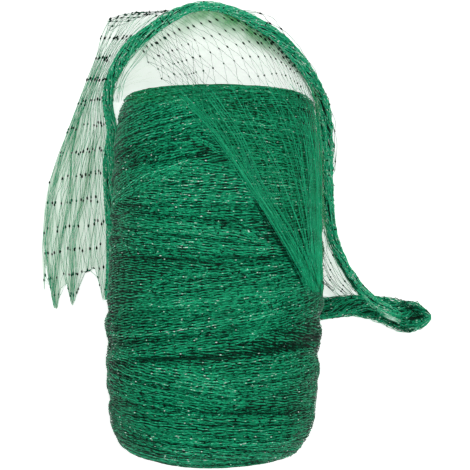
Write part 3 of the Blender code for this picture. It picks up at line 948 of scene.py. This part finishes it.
edge_lines = Lines()
edge_knots = Knots()
draw_rope(edge_lines, edge_knots, edge, edge_lift, count=76, middle=0.79, fuzz=0.4, glint_share=0.42)
draw_rope(edge_lines, edge_knots, loop, loop_lift, count=110, middle=0.50, fuzz=0.2, glint_share=0.3)
edge_strands = edge_lines.piece("edge_strands", loose_twine, "gathered_net")
edge_beads = edge_knots.piece("edge_knots", loose_twine, "gathered_net")


# %% [markdown]
# ## Net as a lattice of strands
#
# In open net each strand zigzags: at one row of knots it meets its left neighbour, at the next its right
# one. A function gives the place of any knot, counted in columns and rows, and the same few lines then draw
# the fall at the left, the net over the roll and the strips beside the edge.

# %% Write the lattice
def draw_lattice(
    lines, knots, spot_at, columns, rows, steps, radius, tones, knot_size, skip=0.0, shows=None
):
    """spot_at(column, row) gives points for arrays. Strand n runs between columns n and n + 1. A share of
    the knots is skipped, and so are those at points for which shows says no."""
    at = np.arange(rows * steps + 1) / steps
    middle, spread = tones
    half_width, half_length = knot_size
    for strand in range(columns):
        here = np.floor(at + 1e-9)
        share = at - here
        first = strand + (here + strand) % 2
        after = strand + (here + 1 + strand) % 2
        column = first + (after - first) * share
        points = spot_at(column, at)
        lines.add(points, radius * chance.uniform(0.85, 1.15), middle + chance.normal(0.0, spread))
        for row in range(1, rows):
            if (row + strand) % 2 or chance.random() < skip:
                continue
            spot = row * steps
            if shows and not shows(points[spot]):
                continue
            aim = points[min(spot + 1, len(points) - 1)] - points[spot - 1]
            size = chance.uniform(0.8, 1.25)
            knots.add(points[spot], aim, half_width * size, half_length * size, chance.uniform(0.02, 0.09))


# %% [markdown]
# ## The sheer fall at the left
#
# Two layers of net lie on each other here, from the arch down to the cut tufts. Seen from a metre away the
# finest strands merge into a pale green haze, which is a thin see-through sheet below the strands. The sheet
# stands for the part's own solid of net, and the strands and knots are pieces on it.

# %% Describe the fall
# Its left edge at each row of knots, the row of the gathered edge at its right, and its fold height
FALL_ROWS = (
    (-97.4, 220.3, 13.5, 0.0), (-102.5, 205.3, 11.2, 0.5), (-107.7, 187.7, 9.6, 1.0),
    (-114.8, 168.3, 8.5, 1.5), (-123.2, 147.2, 7.45, 2.0), (-131.5, 124.3, 6.35, 2.4),
    (-140.3, 101.4, 5.35, 2.6), (-147.4, 79.4, 4.4, 2.8), (-151.8, 58.3, 3.5, 2.8), (-153.4, 35.4, 2.7, 2.6),
    (-154.6, 14.3, 1.9, 2.2), (-153.5, -7.7, 1.1, 1.4), (-152.6, -22.7, 0.4, 0.4), (-152.0, -37.0, 0.0, 0.0),
)
FALL_LAST_ROW = len(FALL_ROWS) - 1
FALL_FOLDS = 2.5
FALL_GRID_STEPS = 8
# Where each cut tuft ends, and its right bound
TUFTS = ((-152.6, -150.8), (-142.4, -136.0), (-127.8, -118.0), (-113.7, -110.5), (-98.6, -80.0))
# The cut hem that runs from tuft to tuft
HEM = (
    (-156.0, -13.0), (-152.6, -22.7), (-150.8, 7.2), (-147.3, -13.0), (-143.8, -33.2), (-141.1, -34.1),
    (-137.6, -17.4), (-135.0, -13.9), (-132.3, -11.2), (-128.8, -28.8), (-127.0, -31.5), (-124.4, -22.7),
    (-120.9, -12.1), (-117.4, -1.6), (-112.1, 0.2), (-107.7, 2.0), (-104.2, -10.4), (-100.7, -26.2),
    (-98.0, -31.5), (-94.0, -26.2),
)
# Pleats that run down the fall, as places from the top down
PLEATS = (
    ((-101.0, 190.0), (-112.0, 160.0), (-122.0, 132.0), (-127.5, 106.0), (-128.0, 82.0), (-130.6, 58.0),
     (-134.1, 41.0), (-138.5, 22.0), (-142.0, -1.0), (-142.6, -30.0)),
    ((-108.0, 120.0), (-113.0, 90.0), (-117.4, 62.0), (-124.0, 40.0), (-127.1, 26.0), (-128.0, 0.0),
     (-127.2, -28.0)),
    ((-117.0, 150.0), (-130.5, 118.0), (-142.0, 84.0), (-148.5, 55.0), (-151.0, 25.0), (-148.0, 2.0),
     (-144.0, -28.0)),
)


def course_point(course, row):
    """The middle of a course at a row of its table."""
    return np.stack([np.interp(row, course.row, course.x), np.interp(row, course.row, course.y)], -1)


fall_rows = smooth_through(FALL_ROWS, FALL_GRID_STEPS)


def on_fall(across, down, height=0.0):
    """Points on the fall: across it from 0 to 1, down it in rows."""
    left_x, left_y, place, fold = (
        np.interp(down * FALL_GRID_STEPS, np.arange(len(fall_rows)), fall_rows[:, n]) for n in range(4)
    )
    right = course_point(edge, place)
    x = left_x + (right[..., 0] - left_x) * across
    y = left_y + (right[..., 1] - left_y) * across
    y = y + 4.5 * np.maximum(1.0 - down, 0.0) * np.sin(math.pi * np.minimum(across / 0.8, 1.0))
    lift = fold * np.sin(math.pi * FALL_FOLDS * across) ** 2
    lift = lift * soft_step(across / 0.1) * soft_step((1.0 - across) / 0.1)
    return np.stack([x, y, 0.8 + lift + height + np.zeros_like(x)], -1)


def haze_finish(name, colour, pattern_scale):
    """A see-through finish, as thick as the sheet's own numbers say and a little streaky."""
    material, graph, shader = new_finish(name)
    place = graph.node("ShaderNodeTexCoord").outputs["Object"]
    cloud = stretched_noise(graph, place, pattern_scale, 3.0)
    thickness = graph.node("ShaderNodeAttribute", {"attribute_name": "haze"}).outputs["Fac"]
    alpha = graph.number(thickness) * (0.3 + graph.number(cloud) * 1.4)
    graph.tree.links.new(alpha.socket, shader.inputs["Alpha"])
    shader.inputs["Base Color"].default_value = (*colour, 1.0)
    shader.inputs["Roughness"].default_value = 0.6
    shader.inputs["Specular IOR Level"].default_value = 0.1
    return material


HAZE_GREEN = (0.018, 0.29, 0.055)
fall_haze = haze_finish("fall_haze", HAZE_GREEN, (300.0, 40.0, 1.0))


def build_sheet(name, spots, haze, material):
    """A thin sheet over a grid of points, which carries how hazy it is at each."""
    bm = bmesh.new()
    layer = bm.verts.layers.float.new("haze")
    rows, columns = spots.shape[:2]
    made = bmesh.ops.create_grid(bm, x_segments=columns - 1, y_segments=rows - 1, size=1.0)
    order = sorted(made["verts"], key=lambda vert: (round(vert.co.y, 6), round(vert.co.x, 6)))
    for vert, spot, thick in zip(order, spots.reshape(-1, 3), np.ravel(haze)):
        vert.co = Vector(spot) * MM
        vert[layer] = thick
    return show(name, mesh_from(bm, name), material)


def hem_at(x):
    """How far down the fall reaches at x."""
    return np.interp(x, *np.transpose(HEM))


def fall_cloud(spots):
    """Thin haze, thicker along the pleats and at the top, and none below the hem."""
    x, y = spots[..., 0], spots[..., 1]
    cloud = 0.14 + 0.17 * soft_step((205.0 - y) / 90.0)
    for pleat in PLEATS:
        row = np.array(pleat)
        middle = np.interp(-y, -row[:, 1], row[:, 0])
        inside = soft_step((row[0, 1] - y) / 25.0)
        cloud = cloud + 0.16 * inside * np.exp(-((x - middle) / 3.4) ** 2)
    return cloud * soft_step((y - hem_at(x)) / 2.0 + 0.5)


fall_spots = on_fall(*np.meshgrid(np.linspace(0.0, 1.0, 73), np.linspace(0.0, FALL_LAST_ROW, 151)))
fall_sheet = build_sheet("fall_sheet", fall_spots, fall_cloud(fall_spots), fall_haze)
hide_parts("loose_fall")


# %% [markdown]
# The net is folded double here, so two lattices lie on each other, the upper one with wider diamonds. Both
# crowd together in pleats and are pinched to a point at every cut tuft. A few loose strands then run down
# each pleat.

# %% Draw the fall's two layers
FALL_KNOT_ROWS = 14
FALL_STEPS = 5


def gathered_columns(share, pull):
    """Shares across, crowded together where the net is gathered in pleats."""
    return share - pull * np.sin(6 * math.pi * (share - 0.1)) / (6 * math.pi)


def draw_fall(lines, knots, columns, shift, pull, height, tones):
    """One layer of the fall, from the arch down to its tufts."""
    rows = FALL_KNOT_ROWS
    jitter = chance.normal(0.0, 0.008, (columns + 2, rows + 2))
    lower = chance.normal(0.0, 0.04, (columns + 2, rows + 2))
    tips, bounds = np.array(TUFTS).T

    def spot_at(column, row):
        near = np.round(column).astype(int)
        level = np.round(row).astype(int)
        share = np.clip(column / columns, 0.0, 1.0)
        share = np.clip(gathered_columns(share, pull) + jitter[near, level], 0.0, 1.0)
        down = np.clip(row + shift + lower[near, level], 0.0, FALL_LAST_ROW)
        points = on_fall(share, down, height)
        tuft = np.searchsorted(bounds[:-1], points[:, 0])
        pinch = 0.42 * soft_step((down - 10.3) / 2.2)
        points[:, 0] += (tips[tuft] - points[:, 0]) * pinch
        points[:, 1] = np.maximum(points[:, 1], hem_at(points[:, 0]) + 0.4 * np.sin(9.0 * points[:, 0]))
        return points

    along = np.arange(rows * FALL_STEPS + 1) / (rows * FALL_STEPS)
    girth = np.interp(along, (0.0, 0.15, 0.35, 1.0), (0.13, 0.13, 0.16, 0.17))
    tone = tones[0] + np.interp(along, (0.0, 0.15, 0.35, 1.0), (-0.18, -0.16, 0.0, 0.0))
    draw_lattice(
        lines, knots, spot_at, columns, rows, FALL_STEPS, girth, (tone, tones[1]), knot_size=(0.8, 1.5),
        skip=0.30,
    )


def draw_pleats(lines, pleats, count, spread, height):
    """Strands that lie close together along each pleat."""
    for pleat in pleats:
        row = smooth_through(pleat, 5)
        for number in range(count):
            across = chance.normal(0.0, spread) * (0.6 + 0.5 * np.sin(row[:, 1] / 14.0 + number))
            x = row[:, 0] + across
            y = np.maximum(row[:, 1] + chance.uniform(-4.0, 4.0), hem_at(x))
            z = 2.2 + height * chance.random() + 0.0 * x
            lines.add(np.stack([x, y, z], 1), 0.17, chance.normal(0.60, 0.1))


fall_lines = Lines()
fall_knots = Knots()
draw_fall(fall_lines, fall_knots, columns=26, shift=-1.0, pull=0.20, height=0.5, tones=(0.50, 0.12))
draw_fall(fall_lines, fall_knots, columns=18, shift=-0.92, pull=0.20, height=1.2, tones=(0.56, 0.12))
draw_pleats(fall_lines, PLEATS, count=6, spread=2.6, height=2.0)
fall_net = fall_lines.piece("fall_net", loose_twine, "sheer_net")
fall_beads = fall_knots.piece("fall_knots", loose_twine, "sheer_net")


# %% [markdown]
# ## The net over the roll
#
# From the arch the net rises to the roll's rounded end and runs on over its front to the right, where it is
# gathered again. Lines across it tell where it leaves the edge and where it ends on the roll. Between them
# it takes the shortest way over the roll, and sags where it spans the air.

# %% Describe the net over the roll
# The course and row that it leaves from, and where it ends on the roll
DRAPE_LINES = (
    ("edge", 7.3, -60.0, 133.0), ("edge", 9.0, -50.0, 134.0), ("edge", 10.8, -39.0, 133.5),
    ("edge", 13.0, -26.0, 130.0), ("edge", 14.9, -13.0, 122.0), ("edge", 16.2, -1.3, 107.5),
    ("edge", 17.3, 12.0, 89.0), ("edge", 18.5, 24.0, 72.5), ("edge", 19.8, 35.0, 57.5),
    ("edge", 21.2, 44.5, 45.0), ("edge", 22.7, 52.5, 34.5), ("edge", 24.0, 59.0, 25.5),
    ("edge", 25.2, 64.5, 17.5), ("edge", 26.4, 69.5, 10.5), ("edge", 27.8, 74.0, 4.0),
    ("edge", 29.2, 78.0, -2.0), ("edge", 30.4, 81.0, -7.0), ("loop", 4.9, 83.2, -11.0),
    ("loop", 4.3, 84.8, -14.5),
)
NET_MIDDLE = 0.8
MOST_PROUD = 1.7
CLEARANCE = 2.8
SHOULDER_START = 126.0
DRAPE_ACROSS = 40
PROFILE_STEPS = 120


def cloth_radius(y, clearance):
    """How far from the axis a cloth on the roll lies, or 0 past its ends."""
    reach = np.interp(-np.minimum(y, SHOULDER_START), -outline[:, 0], outline[:, 1])
    inside = (y < ROLL_OUTLINE[0][0]) & (y > ROLL_OUTLINE[-1][0])
    return np.where(inside, reach + MOST_PROUD + clearance, 0.0)


def drape_profile(start, free):
    """The net's run from the edge to its free end, at even steps."""
    share = np.arange(1, PROFILE_STEPS + 1) / PROFILE_STEPS
    x = start[0] + (free[0] - start[0]) * share
    y = start[1] + (free[1] - start[1]) * share
    length = math.dist(start, free)
    out = cloth_radius(y, CLEARANCE - 0.4 * soft_step((share - 0.8) / 0.2))
    over = np.abs(x) < out
    top = np.where(over, AXIS_HEIGHT + np.sqrt(np.maximum(out * out - x * x, 0.0)), 0.0)
    slope = np.where(over, (top - NET_MIDDLE) / (share * length), -1.0)
    meet = int(np.argmax(slope))
    power = 1.0 + 1.3 * float(soft_step((share[meet] * length - 10.0) / 60.0))
    rising = NET_MIDDLE + (top[meet] - NET_MIDDLE) * np.minimum(share / share[meet], 1.0) ** power
    z = np.where(share >= share[meet], top, rising)
    from_axis = np.hypot(x, z - AXIS_HEIGHT)
    push = np.where(share < share[meet], np.maximum(1.0, out / from_axis), 1.0)
    run = np.column_stack([x * push, y, AXIS_HEIGHT + (z - AXIS_HEIGHT) * push])
    run = np.vstack([(*start, NET_MIDDLE), run])
    walked = np.concatenate([[0.0], np.cumsum(np.linalg.norm(np.diff(run, axis=0), axis=1))])
    even = np.linspace(0.0, walked[-1], DRAPE_ACROSS + 1)
    return np.column_stack([np.interp(even, walked, run[:, n]) for n in range(3)])


def drape_grid():
    """The net's runs side by side, from the arch's left end round to the gather."""
    ends = []
    for name, row, free_x, free_y in DRAPE_LINES:
        course, hand = (edge, 1) if name == "edge" else (loop, -1)
        ahead = course_point(course, row + 0.2) - course_point(course, row - 0.2)
        ahead /= np.linalg.norm(ahead)
        reach = hand * 0.42 * np.interp(row, course.row, course.width)
        foot = course_point(course, row) + np.array([ahead[1], -ahead[0]]) * reach
        ends.append((*foot, free_x, free_y))
    return np.stack([drape_profile(row[:2], row[2:]) for row in smooth_through(ends, 5)])


drape_spots = drape_grid()
print("grid of the net over the roll:", drape_spots.shape)


drape_haze = haze_finish("drape_haze", HAZE_GREEN, (60.0, 60.0, 60.0))


def drape_cloud(spots):
    """Hazy right under the arch, thin in the open net and clear over the roll."""
    rows = np.arange(spots.shape[0])[:, None] / (spots.shape[0] - 1)
    reach = np.linalg.norm(spots - spots[:, :1], axis=2)
    arch = np.exp(-((rows - 0.30) / 0.13) ** 2) * np.exp(-(reach / 15.0) ** 2)
    over_roll = soft_step((150.0 - spots[:, :, 1]) / 8.0) * soft_step((82.0 - spots[:, :, 0]) / 8.0)
    corner = np.exp(-(rows / 0.14) ** 2)
    return 0.72 * arch + 0.18 + 0.10 * corner - 0.14 * over_roll


drape_sheet = build_sheet("drape_sheet", drape_spots, drape_cloud(drape_spots), drape_haze)
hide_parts("draped_net")


# %% [markdown]
# The net over the roll is pulled towards the gather at the right. Its strands leave the arch one after
# another, slant over the roll and close up as they go. The easiest way to get their sweep right is to say
# where a few of them run in the picture that the camera sees, and to drop each point along the camera's
# line of sight onto the cloth, the roll or the floor, whichever it meets first.

# %% Drop picture points onto what carries them
PICTURE_MIDDLE = 235.0
FOCAL_PIXELS = LENS_MM / SENSOR_MM * 2 * PICTURE_MIDDLE


def carriers():
    """The net over the roll and the roll itself, as one thing to cast rays at."""
    places, angles = np.meshgrid(
        np.linspace(0.0, OUTLINE_LENGTH, 150), np.linspace(-math.pi, math.pi, 181), indexing="ij"
    )
    points = []
    faces = []
    for grid in (drape_spots, on_roll(places, angles, 1.2)):
        rows, columns = grid.shape[:2]
        corner = np.arange(rows * columns).reshape(rows, columns) + len(points)
        quads = np.stack([corner[:-1, :-1], corner[1:, :-1], corner[1:, 1:], corner[:-1, 1:]], -1)
        points.extend(map(tuple, grid.reshape(-1, 3)))
        faces.extend(map(tuple, quads.reshape(-1, 4).tolist()))
    return BVHTree.FromPolygons(points, faces)


carried_by = carriers()


def seen_at(pixels):
    """The points, in millimetres, that the camera sees at these places of the picture."""
    eye = Vector(CAMERA_PLACE) / MM
    found = []
    for x, y in np.asarray(pixels, float).reshape(-1, 2):
        sight = Vector(((x - PICTURE_MIDDLE) / FOCAL_PIXELS, (PICTURE_MIDDLE - y) / FOCAL_PIXELS, -1.0))
        hit = carried_by.ray_cast(eye, sight)[0]
        found.append(hit if hit is not None else eye + sight * (eye.z - NET_MIDDLE))
    return np.array(found).reshape(*np.shape(pixels)[:-1], 3)


def sweep_grid(guides, along_steps, across_steps):
    """A grid of points between guides, each a row of picture points."""
    guides = np.asarray(guides, float)
    count, stations = guides.shape[:2]
    across = smooth_through(guides.reshape(count, -1), across_steps)
    flat = across.reshape(len(across), stations, 2)
    fine = np.stack([smooth_through(row, along_steps) for row in flat])
    return seen_at(fine)


def on_grid(grid, across, along, height):
    """Points between a grid's points, for shares across and along."""
    u = np.clip(across, 0.0, 1.0) * (grid.shape[0] - 1)
    v = np.clip(along, 0.0, 1.0) * (grid.shape[1] - 1)
    at_u = np.minimum(u.astype(int), grid.shape[0] - 2)
    at_v = np.minimum(v.astype(int), grid.shape[1] - 2)
    u = (u - at_u)[..., None]
    v = (v - at_v)[..., None]
    one = grid[at_u, at_v] * (1 - v) + grid[at_u, at_v + 1] * v
    two = grid[at_u + 1, at_v] * (1 - v) + grid[at_u + 1, at_v + 1] * v
    return one * (1 - u) + two * u + np.array([0.0, 0.0, 1.0]) * height


# %% [markdown]
# Nine guides give the sweep, from the arch's inner side to the gather at the right. Between them the strands
# are a lattice with open, thin, dark diamonds where the net spans the air, and closed, thicker, bright ones
# over the roll. Where the net is gathered most, its strands lie in bundles with no diamonds to be seen, so
# each bundle is drawn side by side along a guide of its own.

# %% Draw the net from the arch to the gather
# Each guide runs from the arch to the gather. The next one lies further along the arch
GATHER_GUIDES = (
    ((133, 44), (143, 56), (152, 67), (161, 78), (170, 88),
     (184, 100), (206, 124), (234, 164), (273, 226), (312, 292)),
    ((140, 37), (151, 50), (161, 62), (171, 74), (181, 88),
     (194, 105), (213, 134), (240, 171), (278, 231), (314, 292)),
    ((150, 30), (163, 45), (174, 59), (185, 73), (195, 88),
     (207, 110), (225, 141), (250, 180), (284, 234), (316, 292)),
    ((163, 22), (177, 37), (189, 53), (198, 71), (206, 88),
     (219, 110), (238, 140), (261, 183), (288, 232), (317, 292)),
    ((185, 13), (202, 28), (219, 43), (234, 59), (247, 82),
     (262, 108), (279, 140), (293, 183), (305, 236), (318, 292)),
    ((215, 10), (233, 22), (250, 37), (265, 55), (277, 78),
     (289, 102), (299, 134), (306, 178), (312, 236), (319, 292)),
    ((245, 21), (261, 34), (275, 49), (287, 66), (295, 84),
     (303, 108), (309, 138), (313, 182), (316, 237), (320, 293)),
    ((272, 40), (285, 54), (296, 69), (304, 83), (309, 97),
     (314, 115), (317, 144), (318, 185), (319, 238), (321, 294)),
    ((297, 64), (304, 77), (310, 90), (315, 102), (318, 114),
     (320, 130), (322, 155), (322, 190), (322, 238), (323, 296)),
)
gather_grid = sweep_grid(GATHER_GUIDES, 8, 8)
print("grid from the arch to the gather:", gather_grid.shape)


OPEN_NET_TOP = 140.0
OPEN_NET_RIGHT = 70.0
GATHER_STEPS = 6


def in_open_net(point):
    """Knots show where the net spans the air, and sink in where it lies on the roll."""
    return point[2] < OPEN_NET_TOP and point[0] < OPEN_NET_RIGHT


def draw_gather(lines, knots, strands, rows, height, reach, knot_skip):
    """Strands down the whole sweep, thin and dark in the open net and bright over the roll."""
    stray = chance.normal(0.0, 0.0025, (strands + 2, rows + 2))
    late = chance.normal(0.0, 0.004, (strands + 2, rows + 2))

    def spot_at(column, row):
        near = np.round(column).astype(int)
        level = np.round(row).astype(int)
        run = row / rows
        across = reach * (column / strands) ** 0.72 + stray[near, level]
        stations = np.interp(run, (0.0, 0.40, 1.0), (0.0, 4.6 / 9.0, 1.0))
        return on_grid(gather_grid, across, stations + late[near, level] * (1.0 - run), height)

    run = np.arange(rows * GATHER_STEPS + 1) / (rows * GATHER_STEPS)
    girth = np.interp(run, (0.0, 0.36, 0.44, 1.0), (0.13, 0.13, 0.21, 0.22))
    tone = np.interp(run, (0.0, 0.36, 0.44, 1.0), (0.32, 0.32, 0.58, 0.56))
    draw_lattice(
        lines, knots, spot_at, strands, rows, GATHER_STEPS, girth, (tone, 0.08), knot_size=(0.75, 1.8),
        skip=knot_skip, shows=in_open_net,
    )


BRIGHTEST_BUNDLE = 0.74


def draw_bundle(lines, guide, first_width, last_width, count, tones, height):
    """Strands side by side along a guide of picture points, over whatever carries them there."""
    row = smooth_through(guide, 5)
    heading = np.gradient(row, axis=0)
    heading /= np.linalg.norm(heading, axis=1)[:, None]
    side = np.stack([-heading[:, 1], heading[:, 0]], 1)
    share = np.linspace(0.0, 1.0, len(row))
    width = first_width + (last_width - first_width) * share
    for number in range(count):
        across = (number + chance.uniform(0.1, 0.9)) / count - 0.5
        wander = 0.10 * np.sin(share * chance.uniform(4, 9) + chance.uniform(0, 6.28))
        points = seen_at(row + side * (width * (across + wander))[:, None])
        points[:, 2] += height
        first = chance.integers(0, 4)
        last = len(points) - chance.integers(0, 4)
        tone = chance.normal(*tones) + chance.normal(0.0, 0.05, last - first)
        tone = np.minimum(tone, max(tones[0], BRIGHTEST_BUNDLE))
        lines.add(points[first:last], chance.uniform(0.15, 0.24), tone)


drape_lines = Lines()
drape_knots = Knots()
draw_gather(drape_lines, drape_knots, strands=58, rows=15, height=0.4, reach=1.0, knot_skip=0.0)
draw_gather(drape_lines, drape_knots, strands=8, rows=15, height=0.9, reach=0.42, knot_skip=0.5)
# A guide, then its first and last width in picture points, the count of strands, their tone and how high they
# lie. First come the bundles that sweep to the gather, then dark strands beside it, one bundle of which is a
# painted shadow along the gather's left side, near-white strands that are painted light coming through the
# loop's opening, the dark net that lies on the loop, and single dark strands low down and on the roll that
# are painted shadow lines along its furrows
BUNDLES = (
    (((205, 89), (219, 107), (240, 138), (259, 183), (285, 225), (305, 262), (316, 292)),
     11, 7, 8, 0.74, 0.9),
    (((176, 90), (193, 109), (222, 142), (246, 180), (266, 210), (290, 250), (309, 287)),
     11, 6, 7, 0.74, 0.9),
    (((228, 86), (250, 125), (272, 165), (290, 210), (305, 250), (318, 290)),
     12, 8, 4, 0.68, 0.9),
    (((284, 89), (300, 110), (309, 137), (313, 175), (315, 230), (317, 285)),
     26, 10, 9, 0.74, 0.9),
    (((262, 87), (280, 118), (294, 155), (303, 200), (310, 250), (316, 290)),
     22, 8, 5, 0.70, 0.9),
    (((298, 225), (304, 250), (310, 275), (313, 296)),
     24, 12, 12, 0.58, 0.9),
    # Painted shadow: dark strands along the gather's left side
    (((255, 199), (264, 216), (280, 243), (296, 268), (306, 290)),
     4, 6, 6, 0.14, 0.9),
    (((150, 38), (138, 52), (127, 68), (120, 84), (116, 102)),
     14, 9, 9, 0.72, 0.9),
    (((327, 236), (334, 250), (341, 266), (349, 280), (359, 293), (373, 306)),
     3, 4, 6, 0.10, 4.5),
    # Painted light: near-white strands for light coming through the loop's opening
    (((382, 313), (389, 317), (398, 321)),
     3, 4, 20, 1.20, 16.0),
    (((396, 300), (407, 305), (417, 312), (424, 321)),
     7, 6, 8, 0.06, 9.8),
    (((380, 317), (392, 323), (403, 328), (414, 329)),
     4, 7, 8, 0.06, 8.4),
    (((321, 280), (328, 285), (334, 290)),
     5, 3, 6, 0.08, 2.0),
    # Painted shadow lines: these three single dark strands lie along furrows of the roll
    (((119, 356), (159, 359), (215, 358), (248, 353), (277, 349), (296, 341), (310, 336)),
     2, 2, 3, 0.08, 0.3),
    (((140, 164), (166, 160), (190, 156), (216, 153)),
     1, 1, 2, 0.04, 0.3),
    (((147, 262), (175, 260), (205, 259), (230, 257), (262, 258), (295, 258)),
     1, 1, 2, 0.06, 0.3),
)
for guide, first_width, last_width, count, tone, height in BUNDLES:
    draw_bundle(drape_lines, guide, first_width, last_width, count, (tone, 0.14), height)


# %% [markdown]
# ## Loose net beside the edge
#
# Outside the arch a narrow strip of net shows, and between the roll and the right leg a few strands hang
# across the gap. Both are lattices over guides of picture points, like the net over the roll.

# %% Draw the strips beside the edge
OUTER_GUIDES = (
    ((238, 12), (256, 22), (275, 37), (290, 55), (303, 72), (311, 87),
     (318, 101), (325, 118), (329, 134), (331, 152), (332, 170)),
    ((244, 10), (264, 13), (285, 27), (301, 49), (313, 65), (320, 82),
     (328, 98), (335, 119), (337, 135), (337, 154), (335, 171)),
)
TOP_GUIDES = (
    ((107, 21), (120, 17), (135, 13), (152, 11), (171, 10)),
    ((109, 32), (122, 25), (137, 19), (151, 15), (166, 12)),
)
WEB_GUIDES = (
    ((324, 228), (331, 244), (340, 262), (350, 279), (357, 290)),
    ((323, 240), (328, 257), (337, 274), (347, 287), (355, 295)),
    ((323, 254), (328, 269), (336, 282), (345, 291), (353, 299)),
    ((323, 267), (328, 279), (335, 288), (343, 295), (350, 302)),
    ((322, 281), (326, 287), (333, 293), (340, 299), (347, 305)),
)


def draw_strip(lines, knots, guides, strands, rows, girth, tones, knot_size):
    """Open net between guides of picture points."""
    grid = sweep_grid(guides, 6, 6)
    stray = chance.normal(0.0, 0.03, (strands + 2, rows + 2))

    def spot_at(column, row):
        near = np.round(column).astype(int)
        level = np.round(row).astype(int)
        across = column / strands + stray[near, level]
        return on_grid(grid, across, row / rows + 0.3 * stray[near, level], 0.5)

    draw_lattice(lines, knots, spot_at, strands, rows, 5, girth, tones, knot_size, skip=0.1)


# Guides, strands, rows, girth, tone and its spread, and the knots' half width and half length
STRIPS = (
    (OUTER_GUIDES, 4, 14, 0.22, (0.16, 0.06), (0.85, 1.5)),
    (TOP_GUIDES, 5, 11, 0.16, (0.20, 0.06), (0.75, 1.3)),
    (WEB_GUIDES, 12, 3, 0.21, (0.26, 0.08), (0.8, 1.8)),
)
for strip in STRIPS:
    draw_strip(drape_lines, drape_knots, *strip)
drape_net = drape_lines.piece("drape_net", loose_twine, "sheer_net")
drape_beads = drape_knots.piece("drape_knots", loose_twine, "sheer_net")


# %% [markdown]
# ## Cloth sizes
#
# The areas of the two sheets and the two cores are printed. All of these are the areas of the net as it is
# drawn, closed up, because the open width of a gathered net doesn't show.

print("areas, m2:", {p.name: round(area_of(p), 4) for p in (fall_sheet, drape_sheet, edge_core, loop_core)})


# %% [markdown]
# ## Light and floor
#
# The net is shown on a white surface in soft studio light. Two long soft lights, one at each side, give a
# sheen along the two pale bands that run down the roll, and painted sheen in the strands' tone adds to it. A
# wide one above and a faint even glow from all round fill the rest, and the surface glows a little too, so
# that it stays white right under the net.

# %% Set the stage
def build_floor():
    bm = bmesh.new()
    bmesh.ops.create_grid(bm, x_segments=1, y_segments=1, size=6.0)
    bmesh.ops.translate(bm, vec=(0.0, 0.0, -0.0005), verts=bm.verts)
    mesh = mesh_from(bm, "floor")
    material, _, shader = new_finish("white_floor")
    shader.inputs["Base Color"].default_value = (0.93, 0.93, 0.92, 1.0)
    shader.inputs["Roughness"].default_value = 0.9
    shader.inputs["Specular IOR Level"].default_value = 0.1
    shader.inputs["Emission Color"].default_value = (1.0, 1.0, 1.0, 1.0)
    shader.inputs["Emission Strength"].default_value = 0.55
    mesh.materials.append(material)
    place_object("floor", mesh)


def add_light(name, place, size, power, aim=(0.0, 0.0, 0.09)):
    light = bpy.data.lights.new(name, "AREA")
    light.shape = "RECTANGLE"
    light.size, light.size_y = size
    light.energy = power
    made = place_object(name, light)
    made.location = place
    toward = Vector(aim) - Vector(place)
    made.rotation_euler = toward.to_track_quat("-Z", "Y").to_euler()


build_floor()
add_light("left light", (-1.05, 0.05, 0.95), (0.35, 1.5), 5.0)
add_light("right light", (0.85, 0.0, 1.10), (0.35, 1.5), 5.0)
add_light("top light", (0.1, 0.2, 1.9), (1.2, 1.2), 16.0)

world = bpy.data.worlds.new("studio")
world.use_nodes = True
world.node_tree.nodes["Background"].inputs["Color"].default_value = (1.0, 1.0, 1.0, 1.0)
world.node_tree.nodes["Background"].inputs["Strength"].default_value = 0.2
bpy.context.scene.world = world
bpy.context.scene.view_settings.view_transform = "Standard"
